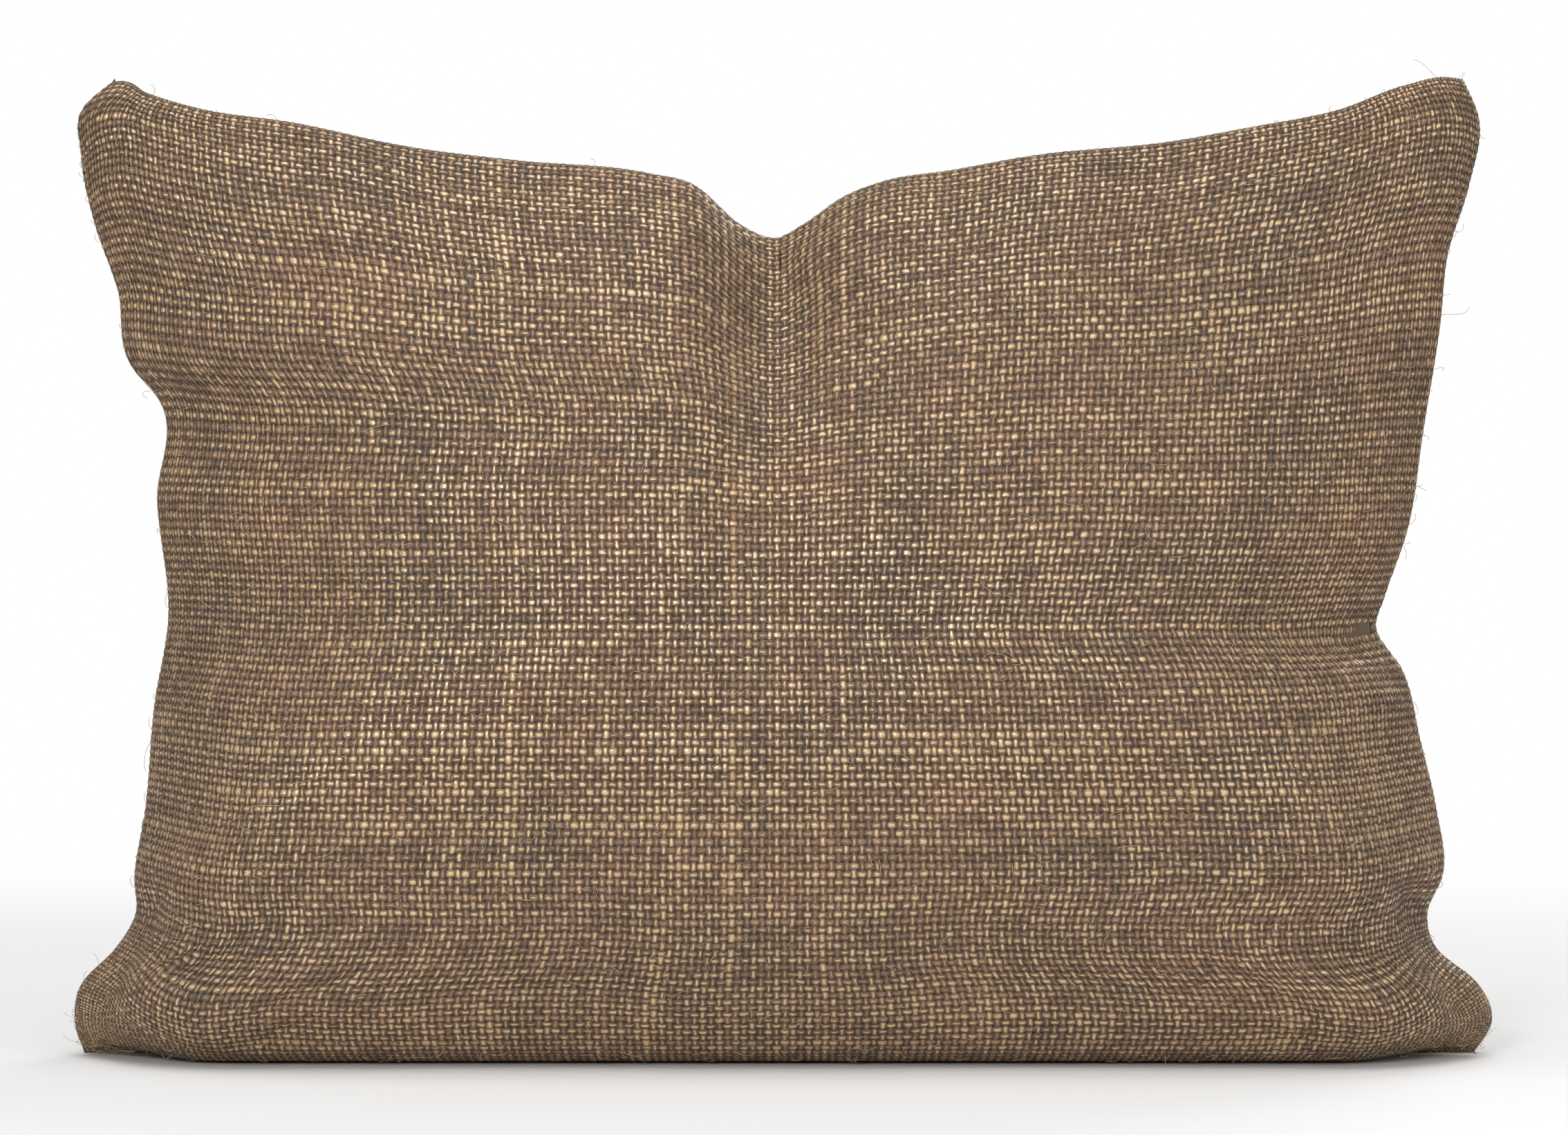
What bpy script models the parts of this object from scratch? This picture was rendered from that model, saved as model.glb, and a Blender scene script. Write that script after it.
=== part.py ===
"""Lumbar throw pillow: a jute cover with a zip, its lining and a filled insert.

The pillow stands on its long lower edge.  +X runs along its width, -Y is its front
and +Z is up.  The origin is on the floor, under the middle of the pillow.
"""
import math

import bmesh
import bpy
import numpy as np

# ---- Driving dimensions, in metres -------------------------------------------------
WIDTH = 0.490             # across the lower corner ears
HEIGHT = 0.336            # floor to the tips of the upper ears
THICKNESS = 0.140         # front to back at the belly
BASE_HALF_DEPTH = 0.022   # half the flat strip that the pillow stands on

COVER_CLOTH = 0.0012
LINING_CLOTH = 0.0006
CASING_CLOTH = 0.0006
CASING_GAP = 0.0006       # filling to casing
LINING_GAP = 0.0018       # casing to lining
TOUCH_GAP = 0.0003        # between pieces that rest on each other
SEAM_GAP = 0.0008         # from each panel to the middle of a seam
THREAD_RADIUS = 0.0005
INSERT_SLACK_SIDE = 0.010 # how far the insert stops short of each side seam
INSERT_SLACK_TOP = 0.010
INSERT_SLACK_FACE = 0.0015

ZIP_LENGTH = 0.356        # tape, end to end
ZIP_HEIGHT = 0.033        # middle of the zip above the floor
ZIP_SET_IN = 0.013        # middle of the zip, in from the belly
ZIP_TILT = math.radians(15.0)
ZIP_FLAT_ENDS = 0.004     # the seam runs on straight past each end of the tape
TAPE_WIDTH = 0.011
TAPE_CLOTH = 0.0005
COIL_WIDTH = 0.0020
COIL_HEIGHT = 0.0018
COIL_SPACING = 0.0016     # between the two rows, for the slider's post
LIP_OPENING = 0.0100      # between the two hems, over the zip
HEM_STITCH_IN = 0.0030    # stitch line, in from the edge of a hem
STOP_LENGTH = 0.0040

SLIDER_LENGTH = 0.0110
SLIDER_WIDTH = 0.0084
SLIDER_BACK = 0.0007
SLIDER_FRONT = 0.0010
SLIDER_POST = 0.0008
SLIDER_CLEARANCE = 0.0004
BRIDGE_STRIP = 0.0008
BRIDGE_WIDTH = 0.0020
PULL_LENGTH = 0.0260
PULL_WIDTH = 0.0060
PULL_PLATE = 0.0012
PULL_SLOT_WIDTH = 0.0028
PULL_SLOT_LENGTH = 0.0042

# ---- Outline, seen from the front --------------------------------------------------
# Height share and how far the edge pulls in, for each side of the pillow.
LEFT_SIDE = [(0.00, 0.000), (0.05, 0.001), (0.09, 0.010), (0.14, 0.022), (0.30, 0.027),
             (0.45, 0.033), (0.58, 0.029), (0.68, 0.028), (0.83, 0.011), (0.93, 0.003),
             (1.00, 0.004)]
RIGHT_SIDE = [(0.00, 0.000), (0.05, 0.001), (0.09, 0.010), (0.14, 0.022), (0.30, 0.024),
              (0.39, 0.031), (0.45, 0.040), (0.53, 0.029), (0.68, 0.021), (0.83, 0.015),
              (0.93, 0.007), (1.00, 0.006)]
# Share of the half width and how far the top edge drops below the ears.
TOP_EDGE = [(-1.00, 0.004), (-0.92, 0.001), (-0.80, 0.013), (-0.60, 0.021), (-0.40, 0.029),
            (-0.19, 0.032), (-0.10, 0.044), (0.00, 0.055), (0.10, 0.043), (0.19, 0.031),
            (0.40, 0.027), (0.62, 0.022), (0.80, 0.012), (0.92, 0.000), (1.00, 0.004)]
NOTCH_HALF_WIDTH = 0.030
NOTCH_VALLEY = 0.22       # share of the depth lost along the fold under the notch

# Upper part of the side view: share of the belly depth, share of the height left.
UPPER_SECTION = [(0.955, 0.09), (1.000, 0.25), (0.985, 0.42), (0.900, 0.57),
                 (0.740, 0.71), (0.520, 0.83), (0.270, 0.93), (0.000, 1.00)]
EDGE_FULLNESS = 0.75      # how bluntly the depth closes towards the side seams
SHOULDER = 0.090          # flat half length of the belly, high up

# Shares of the half width at which the mesh has its columns.
HALF_COLUMNS = [0.07, 0.15, 0.28, 0.45, 0.62, 0.74, 0.81, 0.87, 0.92, 0.96, 1.00]

# ---- Layers, measured outwards from the filling -------------------------------------
CASING_IN = CASING_GAP
CASING_OUT = CASING_IN + CASING_CLOTH
LINING_IN = CASING_OUT + LINING_GAP
LINING_OUT = LINING_IN + LINING_CLOTH
SLIDER_BACK_IN = LINING_OUT + SLIDER_CLEARANCE
SLIDER_BACK_OUT = SLIDER_BACK_IN + SLIDER_BACK
TAPE_IN = SLIDER_BACK_OUT + TOUCH_GAP
TAPE_OUT = TAPE_IN + TAPE_CLOTH
COIL_IN = TAPE_OUT + TOUCH_GAP
COIL_OUT = COIL_IN + COIL_HEIGHT
SLIDER_FRONT_IN = COIL_OUT + TOUCH_GAP
SLIDER_FRONT_OUT = SLIDER_FRONT_IN + SLIDER_FRONT
COVER_OUT = SLIDER_FRONT_OUT
COVER_IN = COVER_OUT - COVER_CLOTH
SEAM_LAYER = (LINING_OUT + COVER_IN) / 2.0

BELLY = THICKNESS / 2.0 - COVER_OUT
ZIP_HALF = ZIP_LENGTH / 2.0
STRAIGHT = ZIP_HALF + ZIP_FLAT_ENDS
BAND_HALF = COIL_SPACING / 2.0 + TAPE_WIDTH + 0.001
ALONG = (math.sin(ZIP_TILT), math.cos(ZIP_TILT))      # up the zip's face, in Y and Z
OUTWARD = (math.cos(ZIP_TILT), -math.sin(ZIP_TILT))   # out of the zip's face
BAND_Y = BELLY - ZIP_SET_IN
BAND_Z = ZIP_HEIGHT + COVER_OUT * math.sin(ZIP_TILT)


# ---- The pillow's form --------------------------------------------------------------
def ease(low, high, value):
    """0 below low, 1 above high, and a smooth step between them."""
    t = np.clip((value - low) / (high - low), 0.0, 1.0)
    return t * t * (3.0 - 2.0 * t)


def section_rows():
    """Rows of the side view: depth, height in the middle and height at the side seams."""
    low = (BAND_Y - BAND_HALF * ALONG[0], BAND_Z - BAND_HALF * ALONG[1])
    high = (BAND_Y + BAND_HALF * ALONG[0], BAND_Z + BAND_HALF * ALONG[1])
    lip = LIP_OPENING / 2.0
    floor = COVER_OUT
    knee_y = BASE_HALF_DEPTH + 0.75 * (low[0] - BASE_HALF_DEPTH)
    knee_z = floor + 0.30 * (low[1] - floor)
    rows = [(0.0, floor, floor),
            (BASE_HALF_DEPTH, floor, floor + 0.35 * (low[1] - floor)),
            (knee_y, knee_z, floor + 0.70 * (low[1] - floor)),
            (low[0], low[1], low[1]),
            (BAND_Y - lip * ALONG[0], BAND_Z - lip * ALONG[1], BAND_Z - lip * ALONG[1]),
            (BAND_Y + lip * ALONG[0], BAND_Z + lip * ALONG[1], BAND_Z + lip * ALONG[1]),
            (high[0], high[1], high[1])]
    return rows


SECTION = section_rows()
UPPER_ROW = len(SECTION) - 1
TOP_ROW = UPPER_ROW + len(UPPER_SECTION)
LIP_LOW = 4
LIP_HIGH = 5
DOWN_FRONT = [-row for row in range(TOP_ROW, UPPER_ROW - 1, -1)] + [-3, -2, -1, 0]
UP_BACK = [0, 1, 2, 3] + list(range(UPPER_ROW, TOP_ROW + 1))
FRONT_ROWS = DOWN_FRONT + [1, 2, 3, LIP_LOW]
BACK_ROWS = [LIP_HIGH, 5.25, 5.5, 5.75, 6, 6.3, 6.6, 6.9, 7.3, 7.7] + list(range(8, TOP_ROW + 1))
# Rows of both panels where they meet at a side seam, corner to top.
SIDE_ROWS = [0, 1.3, 2.1, 2.8, 3.6, 4.8, 6, 6.6, 7.3, 8, 8.65, 9.3, 10.1, 11, 12, 13, TOP_ROW]


def top_height(share):
    """Height of the filling's top edge at a share of the half width."""
    shares = [point[0] for point in TOP_EDGE]
    drops = [point[1] for point in TOP_EDGE]
    return HEIGHT - np.interp(share, shares, drops) - COVER_OUT


def half_width(share, height):
    """Half width of the filling at a height, on the side that share lies on."""
    side = LEFT_SIDE if share < 0.0 else RIGHT_SIDE
    levels = [point[0] for point in side]
    insets = [point[1] for point in side]
    return WIDTH / 2.0 - np.interp(height / HEIGHT, levels, insets) - COVER_OUT


def filled_point(share, row):
    """Point of the filled form: share of the half width, row round the section (front < 0)."""
    index = abs(row)
    depths = [point[0] for point in SECTION]
    depths += [BELLY * point[0] for point in UPPER_SECTION]
    top = top_height(share)
    rise = [SECTION[-1][1] + point[1] * (top - SECTION[-1][1]) for point in UPPER_SECTION]
    middle = [point[1] for point in SECTION] + rise
    edge = [point[2] for point in SECTION] + rise
    numbers = np.arange(TOP_ROW + 1)
    towards_edge = ease(0.85, 1.0, abs(share))
    height = ((1.0 - towards_edge) * np.interp(index, numbers, middle)
              + towards_edge * np.interp(index, numbers, edge))
    reach = half_width(share, height)
    x = share * reach
    high_up = ease(SECTION[-1][1], SECTION[-1][1] + 0.35 * HEIGHT, height)
    flat = STRAIGHT + (SHOULDER - STRAIGHT) * high_up
    closing = np.clip((abs(x) - flat) / (reach - flat), 0.0, 1.0)
    fold = math.exp(-(x / NOTCH_HALF_WIDTH) ** 2) * ease(0.60, 0.82, height / HEIGHT)
    depth = np.interp(index, numbers, depths) * (1.0 - closing ** 2) ** EDGE_FULLNESS
    depth *= 1.0 - NOTCH_VALLEY * fold
    return np.array((x, math.copysign(depth, row), height))


def outward_at(share, row):
    """Unit direction out of the pillow; in the seam's own plane along a seam."""
    on_side = abs(share) > 0.999
    on_top = abs(row) > TOP_ROW - 0.001
    if on_side and (on_top or abs(row) < 0.1):
        corner = np.array((math.copysign(1.0, share), 0.0, 1.0 if on_top else -1.0))
        return corner / np.linalg.norm(corner)
    if abs(row) <= 1.0 and abs(share) < 0.86:
        return np.array((0.0, 0.0, -1.0))
    step_share = 0.02
    step_row = 0.5
    at_share = math.copysign(min(abs(share), 1.0 - 1.5 * step_share), share)
    at_row = math.copysign(min(abs(row), TOP_ROW - 1.5 * step_row), row)
    if on_side:
        above = filled_point(share, math.copysign(min(abs(row) + step_row, TOP_ROW), row))
        below = filled_point(share, math.copysign(max(abs(row) - step_row, 0.0), row))
        along = above - below
        direction = np.array((along[2], 0.0, -along[0])) * math.copysign(1.0, share)
    elif on_top:
        along = filled_point(at_share + step_share, row) - filled_point(at_share - step_share, row)
        direction = np.array((-along[2], 0.0, along[0]))
    else:
        along_width = (filled_point(at_share + step_share, at_row)
                       - filled_point(at_share - step_share, at_row))
        along_row = (filled_point(at_share, at_row + step_row)
                     - filled_point(at_share, at_row - step_row))
        direction = np.cross(along_row, along_width)
    return direction / np.linalg.norm(direction)


def layer_point(share, row, layer):
    """Point of a layer of cloth, a distance outwards from the filled form."""
    return filled_point(share, row) + layer * outward_at(share, row)


def insert_point(share, row, layer):
    """The same for the insert, which stops short of the cover's seams."""
    point = layer_point(share, row, layer)
    floor = COVER_OUT - layer
    point[0] *= 1.0 - INSERT_SLACK_SIDE / (WIDTH / 2.0)
    point[1] *= 1.0 - INSERT_SLACK_FACE / BELLY
    shrink = (INSERT_SLACK_TOP - INSERT_SLACK_FACE) / HEIGHT
    point[2] += INSERT_SLACK_FACE - shrink * (point[2] - floor)
    return point


def columns():
    """Shares of the half width, left to right."""
    return [-share for share in reversed(HALF_COLUMNS)] + [0.0] + HALF_COLUMNS


def insert_row(row, share):
    """The insert's seam lies in the middle plane, so its rows run straight."""
    return row


def past_zip(share):
    """How far the hems have closed beyond the end of the zip, 0 to 1."""
    x = abs(share) * half_width(share, ZIP_HEIGHT)
    return ease(STRAIGHT, STRAIGHT + 0.010, x)


def cover_front_row(row, share):
    """The cover's lower seam leaves the zip and runs down to the corners."""
    bare = (LIP_OPENING / 2.0 - SEAM_GAP) / LIP_OPENING
    parted = row + bare * past_zip(share) * ease(LIP_LOW - 1.0, LIP_LOW, row)
    at_corner = np.interp(row, FRONT_ROWS, [-side for side in reversed(SIDE_ROWS)])
    corner = ease(0.86, 1.0, abs(share))
    return parted * (1.0 - corner) + at_corner * corner


def cover_back_row(row, share):
    """The same seam, from the back panel's side."""
    bare = (LIP_OPENING / 2.0 - SEAM_GAP) / LIP_OPENING
    parted = row - bare * past_zip(share) * ease(LIP_HIGH + 1.0, LIP_HIGH, row)
    at_corner = np.interp(row, BACK_ROWS, SIDE_ROWS)
    corner = ease(0.86, 1.0, abs(share))
    return parted * (1.0 - corner) + at_corner * corner


# ---- Meshes -------------------------------------------------------------------------
def add_object(name, mesh, material):
    """Put a mesh into the scene as a named piece."""
    piece = bpy.data.objects.new(name, mesh)
    mesh.materials.append(material)
    bpy.context.scene.collection.objects.link(piece)
    return piece


def mesh_from(name, points, faces):
    """Closed mesh with its faces turned outwards and shaded smooth."""
    mesh = bpy.data.meshes.new(name)
    mesh.from_pydata([tuple(point) for point in points], [], faces)
    work = bmesh.new()
    work.from_mesh(mesh)
    bmesh.ops.recalc_face_normals(work, faces=work.faces)
    if work.calc_volume(signed=True) < 0.0:
        bmesh.ops.reverse_faces(work, faces=work.faces)
    bmesh.ops.triangulate(work, faces=work.faces, quad_method='FIXED')
    work.to_mesh(mesh)
    work.free()
    mesh.shade_smooth()
    mesh.set_sharp_from_angle(angle=math.radians(40.0))
    return mesh


def cells(tall, wide):
    """Triangle pairs of a grid, split along the line from its nearest corner."""
    for r in range(tall - 1):
        for c in range(wide - 1):
            ring = [(r, c), (r, c + 1), (r + 1, c + 1), (r + 1, c)]
            outer = (r + (2 * r >= tall - 1), c + (2 * c >= wide - 1))
            start = ring.index(outer)
            ring = ring[start:] + ring[:start]
            yield ring[0], ring[1], ring[2]
            yield ring[0], ring[2], ring[3]


def shell(name, rows, row_rule, place, side, layers, material):
    """Sheet of cloth between two layers, on one side of the pillow's seams."""
    shares = columns()
    wide = len(shares)
    tall = len(rows)
    points = []
    for layer in reversed(layers):
        for row in rows:
            for share in shares:
                point = place(share, row_rule(row, share), layer)
                at_seam = abs(share) > 0.999 or abs(row) == TOP_ROW
                if at_seam or (row_rule is insert_row and row == 0):
                    point[1] = side * SEAM_GAP
                points.append(point)
    faces = []
    for corners in cells(tall, wide):
        outside = [r * wide + c for r, c in corners]
        faces.append(tuple(outside))
        faces.append(tuple(tall * wide + corner for corner in reversed(outside)))
    rim = list(range(wide))
    rim += [r * wide + wide - 1 for r in range(1, tall)]
    rim += [(tall - 1) * wide + c for c in range(wide - 2, -1, -1)]
    rim += [r * wide for r in range(tall - 2, 0, -1)]
    for near, far in zip(rim, rim[1:] + rim[:1]):
        if abs(points[near][0]) > abs(points[far][0]):
            near, far = far, near
        faces.append((near, tall * wide + near, tall * wide + far))
        faces.append((near, tall * wide + far, far))
    return add_object(name, mesh_from(name, points, faces), material)


def filled_body(name, front, back, material):
    """Solid inside the seams: its two sides share their edge points."""
    shares = columns()
    wide = len(shares)
    points = []
    numbers = {}
    faces = []
    for rows in (front, back):
        for corners in cells(len(rows), wide):
            triangle = []
            for r, c in corners:
                on_seam = abs(rows[r]) == TOP_ROW or abs(shares[c]) > 0.999
                key = (abs(rows[r]) if on_seam else rows[r], c)
                if key not in numbers:
                    numbers[key] = len(points)
                    point = insert_point(shares[c], rows[r], 0.0)
                    point[1] = 0.0 if on_seam else point[1]
                    points.append(point)
                triangle.append(numbers[key])
            faces.append(tuple(triangle))
    return add_object(name, mesh_from(name, points, faces), material)


def tube(name, path, radius, sides, material):
    """Round thread along a path, closed at both ends."""
    path = [np.array(point) for point in path]
    points = []
    for i, here in enumerate(path):
        before = path[max(i - 1, 0)]
        after = path[min(i + 1, len(path) - 1)]
        ahead = (after - before) / np.linalg.norm(after - before)
        across = np.cross(ahead, (0.0, 1.0, 0.0))
        across /= np.linalg.norm(across)
        up = np.cross(across, ahead)
        for k in range(sides):
            angle = 2.0 * math.pi * k / sides
            points.append(here + radius * (math.cos(angle) * across + math.sin(angle) * up))
    faces = []
    for i in range(len(path) - 1):
        for k in range(sides):
            a = i * sides + k
            b = i * sides + (k + 1) % sides
            faces.append((a, b, b + sides, a + sides))
    faces.append(tuple(range(sides)))
    faces.append(tuple(reversed(range((len(path) - 1) * sides, len(path) * sides))))
    return add_object(name, mesh_from(name, points, faces), material)


# ---- The zip's own frame ------------------------------------------------------------
def on_zip(x, up, out):
    """World point from a place on the zip: along X, up its face, out of its face."""
    return (x, BAND_Y + up * ALONG[0] + out * OUTWARD[0],
            BAND_Z + up * ALONG[1] + out * OUTWARD[1])


def plate_mesh(name, outline, low, high, centre=None):
    """Plate cut to an outline in the zip's face; centre is its own zero, along and out."""
    base = np.zeros(3)
    if centre is not None:
        base = np.array(on_zip(centre[0], 0.0, centre[1]))
    count = len(outline)
    points = []
    for out in (low, high):
        points += [np.array(on_zip(x, up, out)) - base for x, up in outline]
    faces = [tuple(reversed(range(count))), tuple(range(count, 2 * count))]
    for i in range(count):
        j = (i + 1) % count
        faces.append((i, j, count + j, count + i))
    return mesh_from(name, points, faces)


def box_outline(x_low, x_high, up_low, up_high):
    """Four corners of a rectangle in the zip's face."""
    return [(x_low, up_low), (x_high, up_low), (x_high, up_high), (x_low, up_high)]


def helper(name, mesh, target, operation):
    """Boolean partner of a piece, kept out of the build."""
    piece = bpy.data.objects.new(name, mesh)
    bpy.context.scene.collection.objects.link(piece)
    piece.parent = target
    piece.hide_render = True
    piece.hide_viewport = False
    piece.display_type = 'WIRE'
    modifier = target.modifiers.new(name, 'BOOLEAN')
    modifier.operation = operation
    modifier.solver = 'EXACT'
    modifier.object = piece
    return piece


# ---- Materials ----------------------------------------------------------------------
def finish(name, colour, roughness, metallic=0.0):
    """Principled material of one flat colour."""
    material = bpy.data.materials.new(name)
    material.use_nodes = True
    shader = material.node_tree.nodes['Principled BSDF']
    shader.inputs['Base Color'].default_value = (*colour, 1.0)
    shader.inputs['Roughness'].default_value = roughness
    shader.inputs['Metallic'].default_value = metallic
    return material


# ---- Pieces -------------------------------------------------------------------------
def build_cover(jute, lining):
    """Outer jute panels and the lining sewn in behind them."""
    for name, layers, cloth in (("cover", (COVER_IN, COVER_OUT), jute),
                                ("lining", (LINING_IN, LINING_OUT), lining)):
        shell(name + "_front_panel", FRONT_ROWS, cover_front_row, layer_point, -1, layers, cloth)
        shell(name + "_back_panel", BACK_ROWS, cover_back_row, layer_point, 1, layers, cloth)


def build_insert(casing, wadding):
    """The insert: two pieces of casing round one body of filling."""
    layers = (CASING_IN, CASING_OUT)
    shell("insert_casing_front", DOWN_FRONT, insert_row, insert_point, -1, layers, casing)
    shell("insert_casing_back", UP_BACK, insert_row, insert_point, 1, layers, casing)
    filled_body("insert_filling", DOWN_FRONT, UP_BACK, wadding)


def build_seam_thread(thread):
    """Thread that closes the cover's sides and top, just inside the cloth."""
    route = [layer_point(-1.0, row, SEAM_LAYER) for row in [2, 3] + list(range(UPPER_ROW, TOP_ROW))]
    route += [layer_point(share, TOP_ROW, SEAM_LAYER) for share in columns()]
    down = list(range(TOP_ROW - 1, UPPER_ROW - 1, -1)) + [3, 2]
    route += [layer_point(1.0, row, SEAM_LAYER) for row in down]
    for point in route:
        point[1] = 0.0
    tube("cover_seam_thread", route, THREAD_RADIUS, 6, thread)


def build_zip_sides(tape_cloth, nylon, metal, thread):
    """Upper and lower halves of the zip: tape, coil, end stop and hem stitching."""
    edge = COIL_SPACING / 2.0
    coil_end = ZIP_HALF - 2.0 * STOP_LENGTH
    for name, side in (("upper", 1.0), ("lower", -1.0)):
        tape = box_outline(-ZIP_HALF, ZIP_HALF, side * edge, side * (edge + TAPE_WIDTH))
        mesh = plate_mesh("zip_tape_" + name, tape, TAPE_IN, TAPE_OUT)
        add_object("zip_tape_" + name, mesh, tape_cloth)
        row = box_outline(-coil_end, coil_end, side * edge, side * (edge + COIL_WIDTH))
        mesh = plate_mesh("zip_coil_" + name, row, COIL_IN, COIL_OUT)
        add_object("zip_coil_" + name, mesh, nylon)
        stop = box_outline(coil_end + TOUCH_GAP, coil_end + STOP_LENGTH,
                           side * edge, side * (edge + COIL_WIDTH))
        mesh = plate_mesh("zip_top_stop_" + name, stop, COIL_IN, COIL_OUT)
        add_object("zip_top_stop_" + name, mesh, metal)
        up = side * (LIP_OPENING / 2.0 + HEM_STITCH_IN)
        out = COVER_OUT + TOUCH_GAP + THREAD_RADIUS
        line = [on_zip(-ZIP_HALF, up, out), on_zip(0.0, up, out), on_zip(ZIP_HALF, up, out)]
        tube("hem_stitching_" + name, line, THREAD_RADIUS, 6, thread)


def build_bottom_stop(metal):
    """One clip across both coils where the zip stops opening."""
    coil_end = ZIP_HALF - 2.0 * STOP_LENGTH
    reach = COIL_SPACING / 2.0 + COIL_WIDTH
    clip = box_outline(-coil_end - STOP_LENGTH, -coil_end - TOUCH_GAP, -reach, reach)
    mesh = plate_mesh("zip_bottom_stop", clip, COIL_IN, COIL_OUT)
    add_object("zip_bottom_stop", mesh, metal)


def slider_outline():
    """Shield shape: wide shoulders towards +X, a narrower tail."""
    half = SLIDER_LENGTH / 2.0
    wide = SLIDER_WIDTH / 2.0
    right = [(-half, -0.55 * wide), (-0.2 * half, -0.72 * wide), (0.35 * half, -wide),
             (0.8 * half, -0.92 * wide), (half, -0.55 * wide)]
    return right + [(x, -up) for x, up in reversed(right)]


def build_slider(metal):
    """Slider: two plates joined by a post, and a bridge that holds the pull."""
    rest_x = ZIP_HALF - 2.0 * STOP_LENGTH - SLIDER_LENGTH / 2.0
    axis_out = SLIDER_FRONT_OUT + TOUCH_GAP + PULL_PLATE * math.sqrt(0.5)
    centre = (rest_x, axis_out)
    outline = [(rest_x + x, up) for x, up in slider_outline()]
    mesh = plate_mesh("zip_slider", outline, SLIDER_FRONT_IN, SLIDER_FRONT_OUT, centre)
    slider = add_object("zip_slider", mesh, metal)
    slider.location = on_zip(centre[0], 0.0, centre[1])
    back = plate_mesh("slider_back_plate", outline, SLIDER_BACK_IN, SLIDER_BACK_OUT, centre)
    helper("slider_back_plate", back, slider, 'UNION')
    post_low = rest_x + 0.15 * SLIDER_LENGTH
    post = box_outline(post_low, post_low + 0.2 * SLIDER_LENGTH,
                       -SLIDER_POST / 2.0, SLIDER_POST / 2.0)
    lap = 0.5 * SLIDER_BACK
    post_mesh = plate_mesh("slider_post", post, SLIDER_BACK_OUT - lap, SLIDER_FRONT_IN + lap, centre)
    helper("slider_post", post_mesh, slider, 'UNION')
    leg = PULL_PLATE * math.sqrt(0.5) + SLIDER_CLEARANCE
    roof = axis_out + PULL_PLATE * math.sqrt(0.5) + TOUCH_GAP
    wide = BRIDGE_WIDTH / 2.0
    block = box_outline(rest_x - leg - BRIDGE_STRIP, rest_x + leg + BRIDGE_STRIP, -wide, wide)
    bridge = plate_mesh("slider_bridge", block, SLIDER_FRONT_OUT - lap, roof + BRIDGE_STRIP, centre)
    helper("slider_bridge", bridge, slider, 'UNION')
    hole = box_outline(rest_x - leg, rest_x + leg, -2.0 * wide, 2.0 * wide)
    eye = plate_mesh("slider_eye", hole, SLIDER_FRONT_OUT, roof, centre)
    helper("slider_eye", eye, slider, 'DIFFERENCE')
    return slider, centre


def build_pull(metal, slider, centre):
    """Flat pull that swings on its crossbar under the slider's bridge."""
    rest_x, axis_out = centre
    bar = PULL_PLATE / 2.0
    wide = PULL_WIDTH / 2.0
    tip = rest_x - PULL_LENGTH
    right = [(rest_x + bar, -0.72 * wide), (rest_x - 0.30 * PULL_LENGTH, -0.62 * wide),
             (rest_x - 0.62 * PULL_LENGTH, -wide), (tip + 0.05 * PULL_LENGTH, -0.86 * wide),
             (tip, -0.45 * wide)]
    outline = right + [(x, -up) for x, up in reversed(right)]
    mesh = plate_mesh("zip_pull", outline, axis_out - bar, axis_out + bar, centre)
    pull = add_object("zip_pull", mesh, metal)
    pull.parent = slider
    slot = box_outline(rest_x - bar - PULL_SLOT_LENGTH, rest_x - bar,
                       -PULL_SLOT_WIDTH / 2.0, PULL_SLOT_WIDTH / 2.0)
    window = plate_mesh("pull_slot", slot, axis_out - 2.0 * bar, axis_out + 2.0 * bar, centre)
    helper("pull_slot", window, pull, 'DIFFERENCE')


def main():
    """Clear the scene and build every piece."""
    for old in list(bpy.data.objects):
        bpy.data.objects.remove(old, do_unlink=True)
    jute = finish("jute_cloth", (0.235, 0.155, 0.095), 0.90)
    lining = finish("brown_cotton", (0.085, 0.055, 0.035), 0.92)
    casing = finish("white_cotton", (0.80, 0.79, 0.76), 0.90)
    wadding = finish("polyester_fibre", (0.88, 0.88, 0.86), 0.95)
    thread = finish("brown_thread", (0.16, 0.10, 0.06), 0.75)
    tape_cloth = finish("brown_tape", (0.10, 0.065, 0.04), 0.85)
    nylon = finish("brown_nylon", (0.12, 0.075, 0.045), 0.45)
    metal = finish("aged_brass", (0.42, 0.31, 0.16), 0.38, 1.0)
    build_cover(jute, lining)
    build_insert(casing, wadding)
    build_seam_thread(thread)
    build_zip_sides(tape_cloth, nylon, metal, thread)
    build_bottom_stop(metal)
    slider, centre = build_slider(metal)
    build_pull(metal, slider, centre)


main()
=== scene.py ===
import math

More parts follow.
